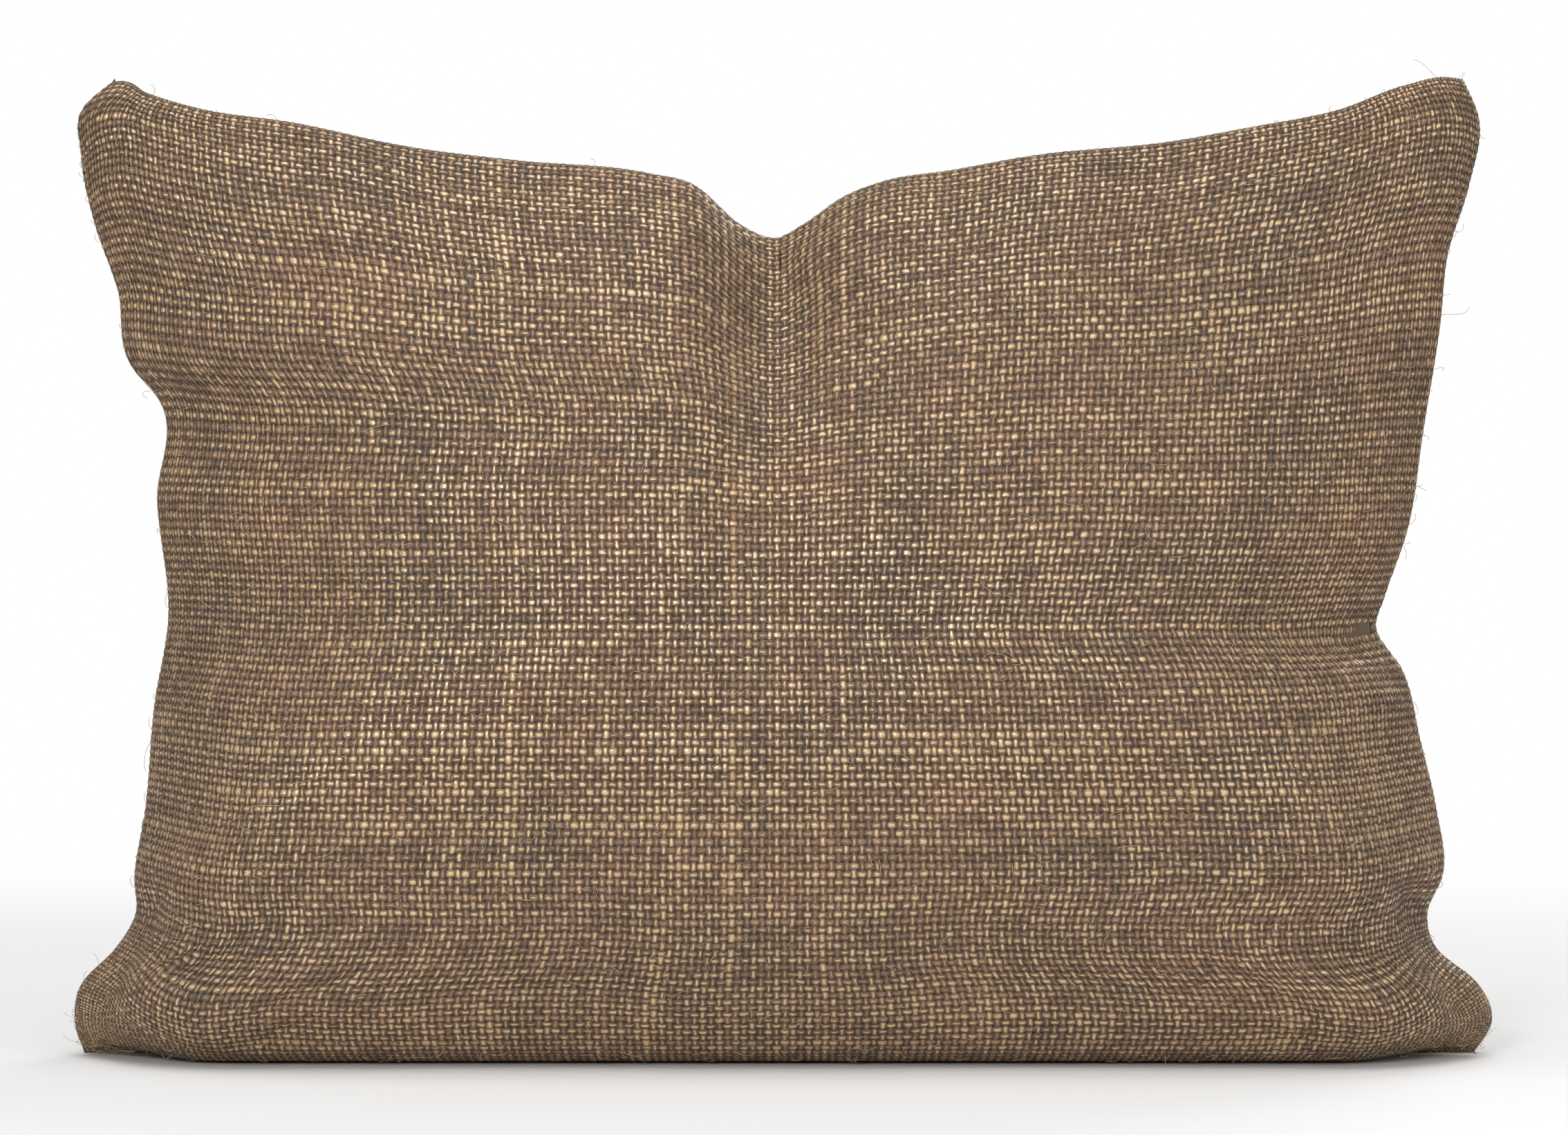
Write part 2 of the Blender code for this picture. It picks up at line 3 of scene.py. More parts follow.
import bmesh
import bpy
import numpy as np
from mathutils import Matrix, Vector


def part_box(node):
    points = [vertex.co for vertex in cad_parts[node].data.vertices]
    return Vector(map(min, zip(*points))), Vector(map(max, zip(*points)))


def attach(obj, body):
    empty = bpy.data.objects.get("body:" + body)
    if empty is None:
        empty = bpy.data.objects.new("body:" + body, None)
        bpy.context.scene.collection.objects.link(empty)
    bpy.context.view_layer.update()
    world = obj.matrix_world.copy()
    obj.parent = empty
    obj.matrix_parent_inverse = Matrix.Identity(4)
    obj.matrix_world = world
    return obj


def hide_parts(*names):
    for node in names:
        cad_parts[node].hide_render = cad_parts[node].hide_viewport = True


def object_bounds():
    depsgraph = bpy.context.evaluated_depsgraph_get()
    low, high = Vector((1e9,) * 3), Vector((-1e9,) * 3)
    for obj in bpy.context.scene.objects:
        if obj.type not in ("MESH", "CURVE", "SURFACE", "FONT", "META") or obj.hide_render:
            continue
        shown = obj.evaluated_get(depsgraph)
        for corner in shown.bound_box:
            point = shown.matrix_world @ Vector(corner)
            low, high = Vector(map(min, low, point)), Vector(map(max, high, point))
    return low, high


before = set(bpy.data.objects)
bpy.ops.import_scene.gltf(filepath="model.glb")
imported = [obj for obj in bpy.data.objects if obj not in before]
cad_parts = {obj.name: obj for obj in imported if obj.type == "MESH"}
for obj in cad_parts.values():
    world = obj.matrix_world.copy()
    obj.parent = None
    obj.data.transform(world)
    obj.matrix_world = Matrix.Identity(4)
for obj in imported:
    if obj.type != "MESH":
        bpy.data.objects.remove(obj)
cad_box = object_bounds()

# ======================================================================================
# The stuffed form.  Everything soft follows one closed shape: the outline of the filled
# cover from the front, and a side view that is flat underneath, full low down and drawn
# to a seam along the top.  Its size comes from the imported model.
# ======================================================================================
HALF_WIDTH = (cad_box[1].x - cad_box[0].x) / 2.0
HEIGHT = cad_box[1].z
HALF_DEPTH = -cad_box[0].y
zip_low, zip_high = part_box("zip_tape_lower"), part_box("zip_tape_upper")
ZIP_HALF = zip_high[1].x
ZIP_Z = (zip_low[1].z + zip_high[0].z) / 2.0
ZIP_TILT = math.radians(15.0)
BASE_HALF = 0.022
EDGE_ROLL = 0.0075        # half thickness of the cloth roll along the seams
LIP = 0.0046              # from the middle of the zip to the edge of each hem
ZIP_END_DIP = 0.0016      # how far the cloth dips past the zip, where the pull lies

# Height above the floor, and how far the left and the right edge pull in there.
LEFT_EDGE = [(0.000, 0.0030), (0.012, 0.0000), (0.024, 0.0025), (0.036, 0.0140),
             (0.048, 0.0210), (0.060, 0.0205), (0.084, 0.0240), (0.120, 0.0270),
             (0.150, 0.0320), (0.190, 0.0285), (0.226, 0.0285), (0.236, 0.0200),
             (0.263, 0.0145), (0.287, 0.0060), (0.310, 0.0015), (0.326, 0.0025),
             (0.336, 0.0140)]
RIGHT_EDGE = [(0.000, 0.0060), (0.012, 0.0000), (0.024, 0.0050), (0.036, 0.0190),
              (0.048, 0.0225), (0.062, 0.0172), (0.084, 0.0195), (0.108, 0.0250),
              (0.132, 0.0310), (0.147, 0.0400), (0.157, 0.0370), (0.180, 0.0290),
              (0.215, 0.0235), (0.251, 0.0180), (0.275, 0.0155), (0.299, 0.0080),
              (0.322, 0.0045), (0.336, 0.0100)]
# Distance from the middle, and how far the top edge lies under the tips of the ears.
TOP_LINE = [(-0.245, 0.0100), (-0.236, 0.0030), (-0.228, 0.0010), (-0.214, 0.0050),
            (-0.187, 0.0113), (-0.158, 0.0155), (-0.129, 0.0225), (-0.087, 0.0285),
            (-0.044, 0.0328), (-0.029, 0.0370), (-0.015, 0.0500), (-0.002, 0.0550),
            (0.008, 0.0500), (0.020, 0.0415), (0.035, 0.0355), (0.056, 0.0322),
            (0.085, 0.0268), (0.128, 0.0225), (0.157, 0.0172), (0.185, 0.0118),
            (0.214, 0.0025), (0.229, 0.0000), (0.238, 0.0020), (0.245, 0.0080)]
# Half of the side view, from under the pillow to the top seam: depth, height.
ZIP_DEPTH = HALF_DEPTH - 0.0136
SECTION = [(0.000, 0.000), (BASE_HALF, 0.000), (0.041, 0.006), (0.0535, 0.020),
           (ZIP_DEPTH + 0.0005, ZIP_Z + 0.004), (0.0625, 0.056), (0.0685, 0.085),
           (HALF_DEPTH, 0.118), (0.0685, 0.160), (0.0620, 0.200), (0.0500, 0.238),
           (0.0340, 0.268), (0.0170, 0.290), (0.0060, 0.2995), (0.000, 0.3015)]
SECTION_TOP = SECTION[-1][1]


def through(points, x):
    """Smooth line through a few points: cubic pieces whose slopes come from the neighbours."""
    knots, values = np.array(points, float).T
    slopes = np.gradient(values, knots)
    i = np.clip(np.searchsorted(knots, x) - 1, 0, len(knots) - 2)
    span = knots[i + 1] - knots[i]
    t = np.clip((x - knots[i]) / span, 0.0, 1.0)
    return ((1 + 2 * t) * (1 - t) ** 2 * values[i] + t * (1 - t) ** 2 * span * slopes[i]
            + t * t * (3 - 2 * t) * values[i + 1] + t * t * (t - 1) * span * slopes[i + 1])


def ease(low, high, x):
    """0 below low, 1 above high, a smooth step between."""
    t = np.clip((x - low) / (high - low), 0.0, 1.0)
    return t * t * (3.0 - 2.0 * t)


steps = np.hypot(*np.diff(np.array(SECTION), axis=0).T)
along = np.concatenate(([0.0], np.cumsum(steps)))
SECTION_LENGTH = along[-1]
section_depth = list(zip(along / SECTION_LENGTH, [p[0] for p in SECTION]))
section_rise = list(zip(along / SECTION_LENGTH, [p[1] for p in SECTION]))
ZIP_Q = float(np.interp(ZIP_Z, [p[1] for p in SECTION[1:8]], along[1:8])) / SECTION_LENGTH


def closed_form(u, q):
    """Point on the filled cover.

    u runs from -1 to 1 across the pillow.  q runs round the side view by length: -1 at the
    top seam, 0 underneath, 1 at the top seam again, so negative q is the front.  The depth
    is the side view's, times a factor that falls to nothing at the side seams, joined to
    the thin roll of cloth that is left at a seam.
    """
    a = np.abs(q)
    rise = through(section_rise, a)
    share = np.clip(rise / SECTION_TOP, 0.0, 1.0)
    near_side = ease(0.80, 1.0, np.abs(u))
    rise = rise + near_side * 0.012 * (1 - np.exp(-a / 0.05)) * np.exp(-a / 0.25)
    left = HALF_WIDTH - through(LEFT_EDGE, np.clip(rise * HEIGHT / SECTION_TOP, 0, HEIGHT))
    right = HALF_WIDTH - through(RIGHT_EDGE, np.clip(rise * HEIGHT / SECTION_TOP, 0, HEIGHT))
    x = u * np.where(u < 0, left, right)
    top = HEIGHT - through(TOP_LINE, x)
    lift = ease(0.52, 1.00, share)
    z = rise * ((1 - lift) + lift * top / SECTION_TOP)
    reach = HALF_WIDTH - np.where(u < 0, through(LEFT_EDGE, z), through(RIGHT_EDGE, z))
    x = u * reach
    high_up = ease(0.050, 0.200, z)
    flat = (ZIP_HALF + 0.004) * (1 - high_up) + 0.045 * high_up
    closing = np.clip((np.abs(x) - flat) / (reach - flat), 0.0, 1.0)
    fullness = (1.0 - closing ** 2) ** 0.80
    groove = 1.0 - 0.46 * np.exp(-(x / 0.021) ** 2) * ease(0.200, 0.270, z)
    groove = groove + 0.07 * np.exp(-((np.abs(x) - 0.050) / 0.022) ** 2) * ease(0.19, 0.25, z)
    body = through(section_depth, a) * fullness * groove
    side = np.clip((1.0 - np.abs(u)) * reach / 0.014, 0.0, 1.0)
    seam = np.clip((1.0 - a) * SECTION_LENGTH / 0.014, 0.0, 1.0)
    roll = EDGE_ROLL * np.sqrt(side * (2 - side)) * np.sqrt(seam * (2 - seam))
    roll = roll * np.clip(a / 0.05, 0.0, 1.0)
    y = np.sign(q) * np.hypot(body, roll)
    beyond = np.abs(x) - ZIP_HALF
    past_zip = ease(-0.004, 0.002, beyond) * (1 - ease(0.008, 0.018, beyond))
    y = y - ZIP_END_DIP * past_zip * np.exp(-(((q - ZIP_Q) * SECTION_LENGTH) / 0.007) ** 2)
    wander = 0.0022 * np.sin(z / 0.031 + 2 * np.sign(u)) + 0.0018 * np.sin(x / 0.043 + 1.0)
    at_edge = np.exp(-np.minimum((1 - np.abs(u)) * reach, (1 - a) * SECTION_LENGTH) / 0.02)
    y = y + wander * at_edge * ease(0.02, 0.06, z)
    return np.stack((x, y, z), axis=-1)


def equal_steps(count):
    """Values of u at equal lengths of cloth across the belly, -1 to 1."""
    u = np.linspace(-1.0, 1.0, 801)
    belly = closed_form(u, np.full_like(u, -0.42))
    length = np.concatenate(([0.0], np.cumsum(np.linalg.norm(np.diff(belly, axis=0), axis=1))))
    return np.interp(np.linspace(0.0, length[-1], count), length, u)


def lower_edge(u, lip):
    """q of a panel's lower edge: along the zip, then down to the corner at both ends."""
    x = np.abs(closed_form(u, np.full_like(u, ZIP_Q))[..., 0])
    parted = lip * (1.0 - ease(ZIP_HALF - 0.004, ZIP_HALF + 0.003, x))
    corner = 1.0 - ease(ZIP_HALF + 0.006, HALF_WIDTH - 0.020, x)
    return ZIP_Q * corner + parted / SECTION_LENGTH


def front_grid(across, down):
    """u and q of the front panel: top seam, down the front, under, and up to the zip."""
    u = equal_steps(across)[None, :]
    end = lower_edge(u, -LIP)
    t = np.linspace(0.0, 1.0, down)[:, None]
    straight = -1.0 + t * (1.0 + ZIP_Q)
    turn = -0.22
    share = np.clip((straight - turn) / (ZIP_Q - turn), 0.0, 1.0)
    q = np.where(straight < turn, straight, turn + share * (end - turn))
    return np.broadcast_to(u, q.shape), q


def back_grid(across, up):
    """u and q of the back panel, from the zip to the top seam."""
    u = equal_steps(across)[None, :]
    start = lower_edge(u, LIP)
    t = np.linspace(0.0, 1.0, up)[:, None]
    straight = ZIP_Q + t * (1.0 - ZIP_Q)
    turn = 0.40
    share = np.clip((straight - ZIP_Q) / (turn - ZIP_Q), 0.0, 1.0)
    q = np.where(straight > turn, straight, start + share * (turn - start))
    return np.broadcast_to(u, q.shape), q


# --------------------------------------------------------------------------------------
# The cover as cloth: one coarse grid round the whole pillow is relaxed as cloth under the
# push of the filling, with its seams, its zip and its resting face held.  The cut size of
# the flat panels is its rest shape, so what is too long for the seams puckers there.
# --------------------------------------------------------------------------------------
SIM_ACROSS, SIM_ROUND = 121, 171
CUT_WIDTH, CUT_ROUND = 0.522, 0.800
MOVE_CAP = 0.008


def grid_faces(rows, cols):
    """Numbers of a grid's points, and its quads, which face out of the cover."""
    number = np.arange(rows * cols).reshape(rows, cols)
    quads = np.stack((number[:-1, :-1], number[1:, :-1], number[1:, 1:], number[:-1, 1:]), -1)
    return number, quads.reshape(-1, 4)


def relax_as_cloth(points, cut_width, cut_round, held):
    """Moves of a grid of cloth under pressure, from points, with a flat sheet as its rest."""
    rows, cols = points.shape[:2]
    mesh = bpy.data.meshes.new("cloth_trial")
    mesh.from_pydata(points.reshape(-1, 3), [], grid_faces(rows, cols)[1].tolist())
    trial = bpy.data.objects.new("cloth_trial", mesh)
    bpy.context.scene.collection.objects.link(trial)
    trial.shape_key_add(name="Basis")
    flat = trial.shape_key_add(name="cut")
    wide, tall = np.meshgrid(np.linspace(-0.5, 0.5, cols) * cut_width,
                             np.linspace(0.0, 1.0, rows) * cut_round)
    sheet = np.stack((wide, np.zeros_like(wide), tall), -1)
    flat.data.foreach_set("co", sheet.astype(np.float32).ravel())
    group = trial.vertex_groups.new(name="held")
    for index in np.flatnonzero(held.ravel() > 0):
        group.add([int(index)], float(held.ravel()[index]), 'REPLACE')
    cloth = trial.modifiers.new("cloth", 'CLOTH')
    settings = cloth.settings
    settings.rest_shape_key = flat
    settings.vertex_group_mass = "held"
    settings.quality = 6
    settings.mass = 0.25
    settings.tension_stiffness = 22.0
    settings.compression_stiffness = 22.0
    settings.shear_stiffness = 6.0
    settings.bending_stiffness = 0.35
    settings.tension_damping = 8.0
    settings.compression_damping = 8.0
    settings.shear_damping = 8.0
    settings.air_damping = 4.0
    settings.use_pressure = True
    settings.uniform_pressure_force = 1.5
    settings.effector_weights.gravity = 0.0
    cloth.collision_settings.use_collision = False
    cloth.collision_settings.use_self_collision = False
    cloth.point_cache.frame_start = 1
    cloth.point_cache.frame_end = 24
    scene = bpy.context.scene
    for frame_number in range(1, 25):
        scene.frame_set(frame_number)
    settled = trial.evaluated_get(bpy.context.evaluated_depsgraph_get())
    moved = np.empty(rows * cols * 3, np.float32)
    settled.data.vertices.foreach_get("co", moved)
    scene.frame_set(1)
    bpy.data.objects.remove(trial)
    bpy.data.meshes.remove(mesh)
    move = moved.reshape(rows, cols, 3) - points
    length = np.linalg.norm(move, axis=-1, keepdims=True)
    return move * np.tanh(length / MOVE_CAP) * MOVE_CAP / np.maximum(length, 1e-9)


def between(grid, across, down):
    """Smooth values of a grid at fractional places: cubic pieces through its points."""
    rows, cols = grid.shape[:2]
    i = np.clip(across.astype(int), 0, cols - 2)
    j = np.clip(down.astype(int), 0, rows - 2)
    s, t = across - i, down - j

    def weights(t):
        return (-0.5 * t + t ** 2 - 0.5 * t ** 3, 1 - 2.5 * t ** 2 + 1.5 * t ** 3,
                0.5 * t + 2 * t ** 2 - 1.5 * t ** 3, -0.5 * t ** 2 + 0.5 * t ** 3)

    total = 0.0
    for row, weigh_row in zip((-1, 0, 1, 2), weights(t)):
        for col, weigh_col in zip((-1, 0, 1, 2), weights(s)):
            value = grid[np.clip(j + row, 0, rows - 1), np.clip(i + col, 0, cols - 1)]
            total = total + (weigh_row * weigh_col)[..., None] * value
    return total


SIM_U = equal_steps(SIM_ACROSS)
sim_u, sim_q = np.meshgrid(SIM_U, np.linspace(-1.0, 1.0, SIM_ROUND))
start = closed_form(sim_u, sim_q)
held = np.zeros(sim_u.shape)
held[[0, -1]] = 1.0
held[:, [0, -1]] = 1.0
held = np.maximum(held, 1.0 - ease(0.0015, 0.006, start[..., 2]))
by_zip = 1.0 - ease(0.010, 0.020, np.abs(start[..., 2] - ZIP_Z))
held = np.maximum(held, by_zip * (sim_q > 0) * (np.abs(start[..., 0]) < ZIP_HALF + 0.012))
moves = np.zeros_like(start)
moves = relax_as_cloth(start, CUT_WIDTH, CUT_ROUND, held)


def filled_cloth(u, q):
    """Point on the cover as it has settled: the closed form plus the cloth's own moves."""
    column = np.interp(u, SIM_U, np.arange(SIM_ACROSS))
    row = (q + 1.0) / 2.0 * (SIM_ROUND - 1)
    return closed_form(u, q) + between(moves, column, row)


# ======================================================================================
# Woven jute cover, front and back panels.  Plain weave of slubby spun jute yarn, about
# eleven ends and nine picks to the inch, cut as two panels, sewn right sides together
# round three sides and turned.  The lower edges are turned in and sewn to the zip.
# ======================================================================================
ENDS = 205                # warp yarns across a panel
PICK_PITCH = 0.00272      # between weft yarns
COVER_THICK = 0.0012
CRIMP = 0.00024           # how far a yarn rises and falls over its neighbours
WARP_WIDE, WEFT_WIDE = 0.74, 0.88
SHELL_STEP = 4            # points of the outer face to one of the inner face
YARN_RISE = 0.00034


def plain_weave(warp, weft):
    """Height of the cloth's face from yarn counts: warp and weft cross in a plain weave.

    A yarn's middle line is a cosine that passes over one neighbour and under the next, and
    its round is a half ellipse; the face is the higher of the two yarns.
    """
    i, j = np.floor(warp), np.floor(weft)
    across_warp = 2 * (warp - i - 0.5) / WARP_WIDE
    across_weft = 2 * (weft - j - 0.5) / WEFT_WIDE
    round_warp = np.sqrt(np.clip(1 - across_warp ** 2, 0.0, 1.0))
    round_weft = np.sqrt(np.clip(1 - across_weft ** 2, 0.0, 1.0))
    sign = 1.0 - 2.0 * np.mod(i + j, 2)
    high_warp = CRIMP * sign * np.cos(np.pi * (weft - j - 0.5)) + YARN_RISE * round_warp
    high_weft = -CRIMP * sign * np.cos(np.pi * (warp - i - 0.5)) + YARN_RISE * round_weft
    return np.maximum(high_warp, high_weft)


def grid_normals(points):
    """Outward unit normals of a grid on the cover: across its columns, then its rows."""
    normal = np.cross(np.gradient(points, axis=0), np.gradient(points, axis=1))
    return normal / (np.linalg.norm(normal, axis=-1, keepdims=True) + 1e-12)


def smooth_noise(rng, shape, x, z, cell):
    """Soft random field over x and z: random values on a lattice, blended smoothly."""
    lattice = rng.standard_normal(shape)
    gx = np.clip((x + 0.3) / cell, 0, shape[0] - 1.001)
    gz = np.clip((z + 0.05) / cell, 0, shape[1] - 1.001)
    i, j = gx.astype(int), gz.astype(int)
    tx, tz = gx - i, gz - j
    tx, tz = tx * tx * (3 - 2 * tx), tz * tz * (3 - 2 * tz)
    low = lattice[i, j] * (1 - tx) + lattice[i + 1, j] * tx
    high = lattice[i, j + 1] * (1 - tx) + lattice[i + 1, j + 1] * tx
    return low * (1 - tz) + high * tz


def shell_mesh(name, outer, inner_step, thickness, normals, uv):
    """Closed sheet: a fine outer grid, a coarse inner one and a fan of triangles as its rim."""
    rows, cols = outer.shape[:2]
    back = (outer - thickness * normals)[::inner_step, ::inner_step]
    brows, bcols = back.shape[:2]
    points = np.concatenate((outer.reshape(-1, 3), back.reshape(-1, 3)))
    number, quads = grid_faces(rows, cols)
    inner, under = grid_faces(brows, bcols)
    inner, under = inner + rows * cols, under + rows * cols
    quads = np.concatenate((quads, under[:, [0, 3, 2, 1]]))
    fans = []
    for fine, coarse, turn in ((number[0], inner[0], 1), (number[-1], inner[-1], -1),
                               (number[:, -1], inner[:, -1], 1), (number[:, 0], inner[:, 0], -1)):
        k = np.arange(len(fine) - 1)
        edge = np.stack((fine[k + 1], fine[k], coarse[k // inner_step]), -1)
        m = np.arange(len(coarse) - 1)
        gap = np.stack((coarse[m], coarse[m + 1], fine[(m + 1) * inner_step]), -1)
        both = np.concatenate((edge, gap))
        fans.append(both if turn < 0 else both[:, ::-1])
    fans = np.concatenate(fans)
    loops = np.concatenate((quads.ravel(), fans.ravel())).astype(np.int32)
    sizes = np.concatenate((np.full(len(quads), 4), np.full(len(fans), 3)))
    mesh = bpy.data.meshes.new(name)
    mesh.vertices.add(len(points))
    mesh.vertices.foreach_set("co", points.astype(np.float32).ravel())
    mesh.loops.add(len(loops))
    mesh.loops.foreach_set("vertex_index", loops)
    mesh.polygons.add(len(sizes))
    starts = np.concatenate(([0], np.cumsum(sizes)[:-1])).astype(np.int32)
    mesh.polygons.foreach_set("loop_start", starts)
    mesh.update(calc_edges=True)
    mesh.validate()
    for label, plane in uv.items():
        full = np.concatenate((plane.reshape(-1, 2),
                               plane[::inner_step, ::inner_step].reshape(-1, 2)))
        chart = mesh.uv_layers.new(name=label)
        chart.data.foreach_set("uv", full[loops].astype(np.float32).ravel())
    mesh.shade_smooth()
    return mesh


def place(name, mesh, body, *materials):
    """Put a finished mesh into the scene as a piece that rides on a body."""
    piece = bpy.data.objects.new(name, mesh)
    for material in materials:
        piece.data.materials.append(material)
    bpy.context.scene.collection.objects.link(piece)
    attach(piece, body)
    return piece


def folds(points, front):
    """How far the cloth is pressed in or stands out, in metres, at places on the pillow."""
    x, z = points[..., 0], points[..., 2]
    side = 1 if front else -1
    rng = np.random.default_rng(11 if front else 12)
    top = HEIGHT - through(TOP_LINE, x)
    wide = 0.0016 * smooth_noise(rng, (12, 9), x, z, 0.075)
    wide += 0.0009 * smooth_noise(rng, (24, 18), x, z, 0.033)
    left = HALF_WIDTH - through(LEFT_EDGE, z)
    right = HALF_WIDTH - through(RIGHT_EDGE, z)
    from_side = np.where(x < 0, x + left, right - x)
    near = np.exp(-np.clip(from_side, 0, None) / 0.022)
    pucker = smooth_noise(rng, (3, 36), np.sign(x) * 0.1, z + 0.25 * np.abs(x) * side, 0.013)
    wide += 0.0012 * near * pucker
    near_top = np.exp(-np.clip(top - z, 0, None) / 0.020)
    wide += 0.0009 * near_top * smooth_noise(rng, (50, 3), x, 0.0 * z, 0.015)
    if front:
        crease = np.exp(-((z - 0.146 - 0.25 * (x - 0.205)) / 0.007) ** 2)
        wide -= 0.0038 * crease * ease(0.160, 0.205, x)
        puff = np.exp(-((z - 0.122) / 0.014) ** 2) + np.exp(-((z - 0.172) / 0.016) ** 2)
        wide += 0.0022 * puff * ease(0.150, 0.200, x)
        tuck = np.exp(-((z - 0.229 + 0.30 * (x + 0.215)) / 0.006) ** 2)
        wide -= 0.0022 * tuck * (1 - ease(-0.218, -0.190, x))
    for sign in (-1, 1):
        ear = np.abs(sign * x - 0.222 + 0.45 * (z - 0.040)) / 0.008
        wide -= 0.0045 * np.exp(-ear ** 2) * (1 - ease(0.050, 0.085, z))
    return wide * ease(0.0, 0.012, from_side) * ease(0.0, 0.012, top - z)


def panel_surface(grid, across, down, front, shrink=0.0):
    """The cloth's middle surface as a fine grid, with its folds, and its normals."""
    u, q = grid(across, down)
    u = u * (1.0 - shrink)
    q = q * (1.0 - shrink)
    points = filled_cloth(u, q)
    normals = grid_normals(points)
    keep = ease(0.004, 0.030, points[..., 2])
    away = ease(0.012, 0.030, np.abs(points[..., 2] - ZIP_Z)) if not front else 1.0
    rear = (q > 0) & (np.abs(points[..., 0]) < ZIP_HALF + 0.02) if front else (q < -1)
    depth = folds(points, front) * keep * away * np.where(rear, 0.0, 1.0)
    points = points + depth[..., None] * normals
    normals = grid_normals(points)
    for line in (normals[:, 0], normals[:, -1], normals[0 if front else -1]):
        line[:, 1] = 0.0
        line /= np.linalg.norm(line, axis=-1, keepdims=True) + 1e-12
    return points, normals


class Nodes:
    """Short ways to add the shader nodes that the finishes here use, to one new material."""

    def __init__(self, name):
        self.material = bpy.data.materials.new(name)
        self.material.use_nodes = True
        self.nodes = self.material.node_tree.nodes
        self.links = self.material.node_tree.links
        self.shader = self.nodes['Principled BSDF']

    def feed(self, socket, value):
        if isinstance(value, (int, float)):
            socket.default_value = value
        elif isinstance(value, tuple):
            socket.default_value = (*value, 1.0) if len(value) < len(socket.default_value) else value
        else:
            self.links.new(value, socket)

    def math(self, operation, first, second=0.0, third=0.0):
        node = self.nodes.new('ShaderNodeMath')
        node.operation = operation
        for socket, value in zip(node.inputs, (first, second, third)):
            self.feed(socket, value)
        return node.outputs[0]

    def times(self, first, second):
        return self.math('MULTIPLY', first, second)

    def scale_add(self, value, scale, addend):
        return self.math('MULTIPLY_ADD', value, scale, addend)

    def pick(self, factor, first, second):
        node = self.nodes.new('ShaderNodeMix')
        for socket, value in zip((node.inputs[0], node.inputs[2], node.inputs[3]),
                                 (factor, first, second)):
            self.feed(socket, value)
        return node.outputs[0]

    def blend(self, kind, factor, first, second):
        node = self.nodes.new('ShaderNodeMix')
        node.data_type = 'RGBA'
        node.blend_type = kind
        for socket, value in zip((node.inputs[0], node.inputs[6], node.inputs[7]),
                                 (factor, first, second)):
            self.feed(socket, value)
        return node.outputs[2]

    def place(self, x, y, z=0.0):
        node = self.nodes.new('ShaderNodeCombineXYZ')
        for socket, value in zip(node.inputs, (x, y, z)):
            self.feed(socket, value)
        return node.outputs[0]

    def here(self):
        return self.nodes.new('ShaderNodeTexCoord').outputs['Object']

    def split(self, where):
        node = self.nodes.new('ShaderNodeSeparateXYZ')
        self.links.new(where, node.inputs[0])
        return node.outputs

    def noise(self, where, scale, detail=2.0, distortion=0.0):
        node = self.nodes.new('ShaderNodeTexNoise')
        node.inputs['Scale'].default_value = scale
        node.inputs['Detail'].default_value = detail
        node.inputs['Distortion'].default_value = distortion
        self.links.new(where, node.inputs['Vector'])
        return node.outputs[0]

    def wave(self, direction, scale, distortion, detail_scale=1.0):
        node = self.nodes.new('ShaderNodeTexWave')
        node.bands_direction = direction
        node.inputs['Scale'].default_value = scale
        node.inputs['Distortion'].default_value = distortion
        node.inputs['Detail Scale'].default_value = detail_scale
        self.links.new(self.here(), node.inputs[0])
        return node.outputs['Fac']

    def chance(self, where):
        node = self.nodes.new('ShaderNodeTexWhiteNoise')
        self.links.new(where, node.inputs['Vector'])
        return node.outputs[0]

    def ramp(self, value, stops):
        node = self.nodes.new('ShaderNodeValToRGB')
        knots = node.color_ramp.elements
        for k, (at, colour) in enumerate(stops):
            stop = knots[k] if k < 2 else knots.new(at)
            stop.position = at
            stop.color = (*colour, 1.0)
        self.links.new(value, node.inputs[0])
        return node.outputs[0]

    def colour(self, value, stops, roughness):
        self.feed(self.shader.inputs['Base Color'], self.ramp(value, stops))
        self.shader.inputs['Roughness'].default_value = roughness

    def step(self, value, low, high):
        node = self.nodes.new('ShaderNodeMapRange')
        node.interpolation_type = 'SMOOTHSTEP'
        for socket, number in zip(node.inputs, (value, low, high, 0.0, 1.0)):
            self.feed(socket, number)
        return node.outputs[0]

    def bump(self, height, distance, strength=1.0):
        node = self.nodes.new('ShaderNodeBump')
        node.inputs['Strength'].default_value = strength
        node.inputs['Distance'].default_value = distance
        self.links.new(height, node.inputs['Height'])
        self.links.new(node.outputs[0], self.shader.inputs['Normal'])


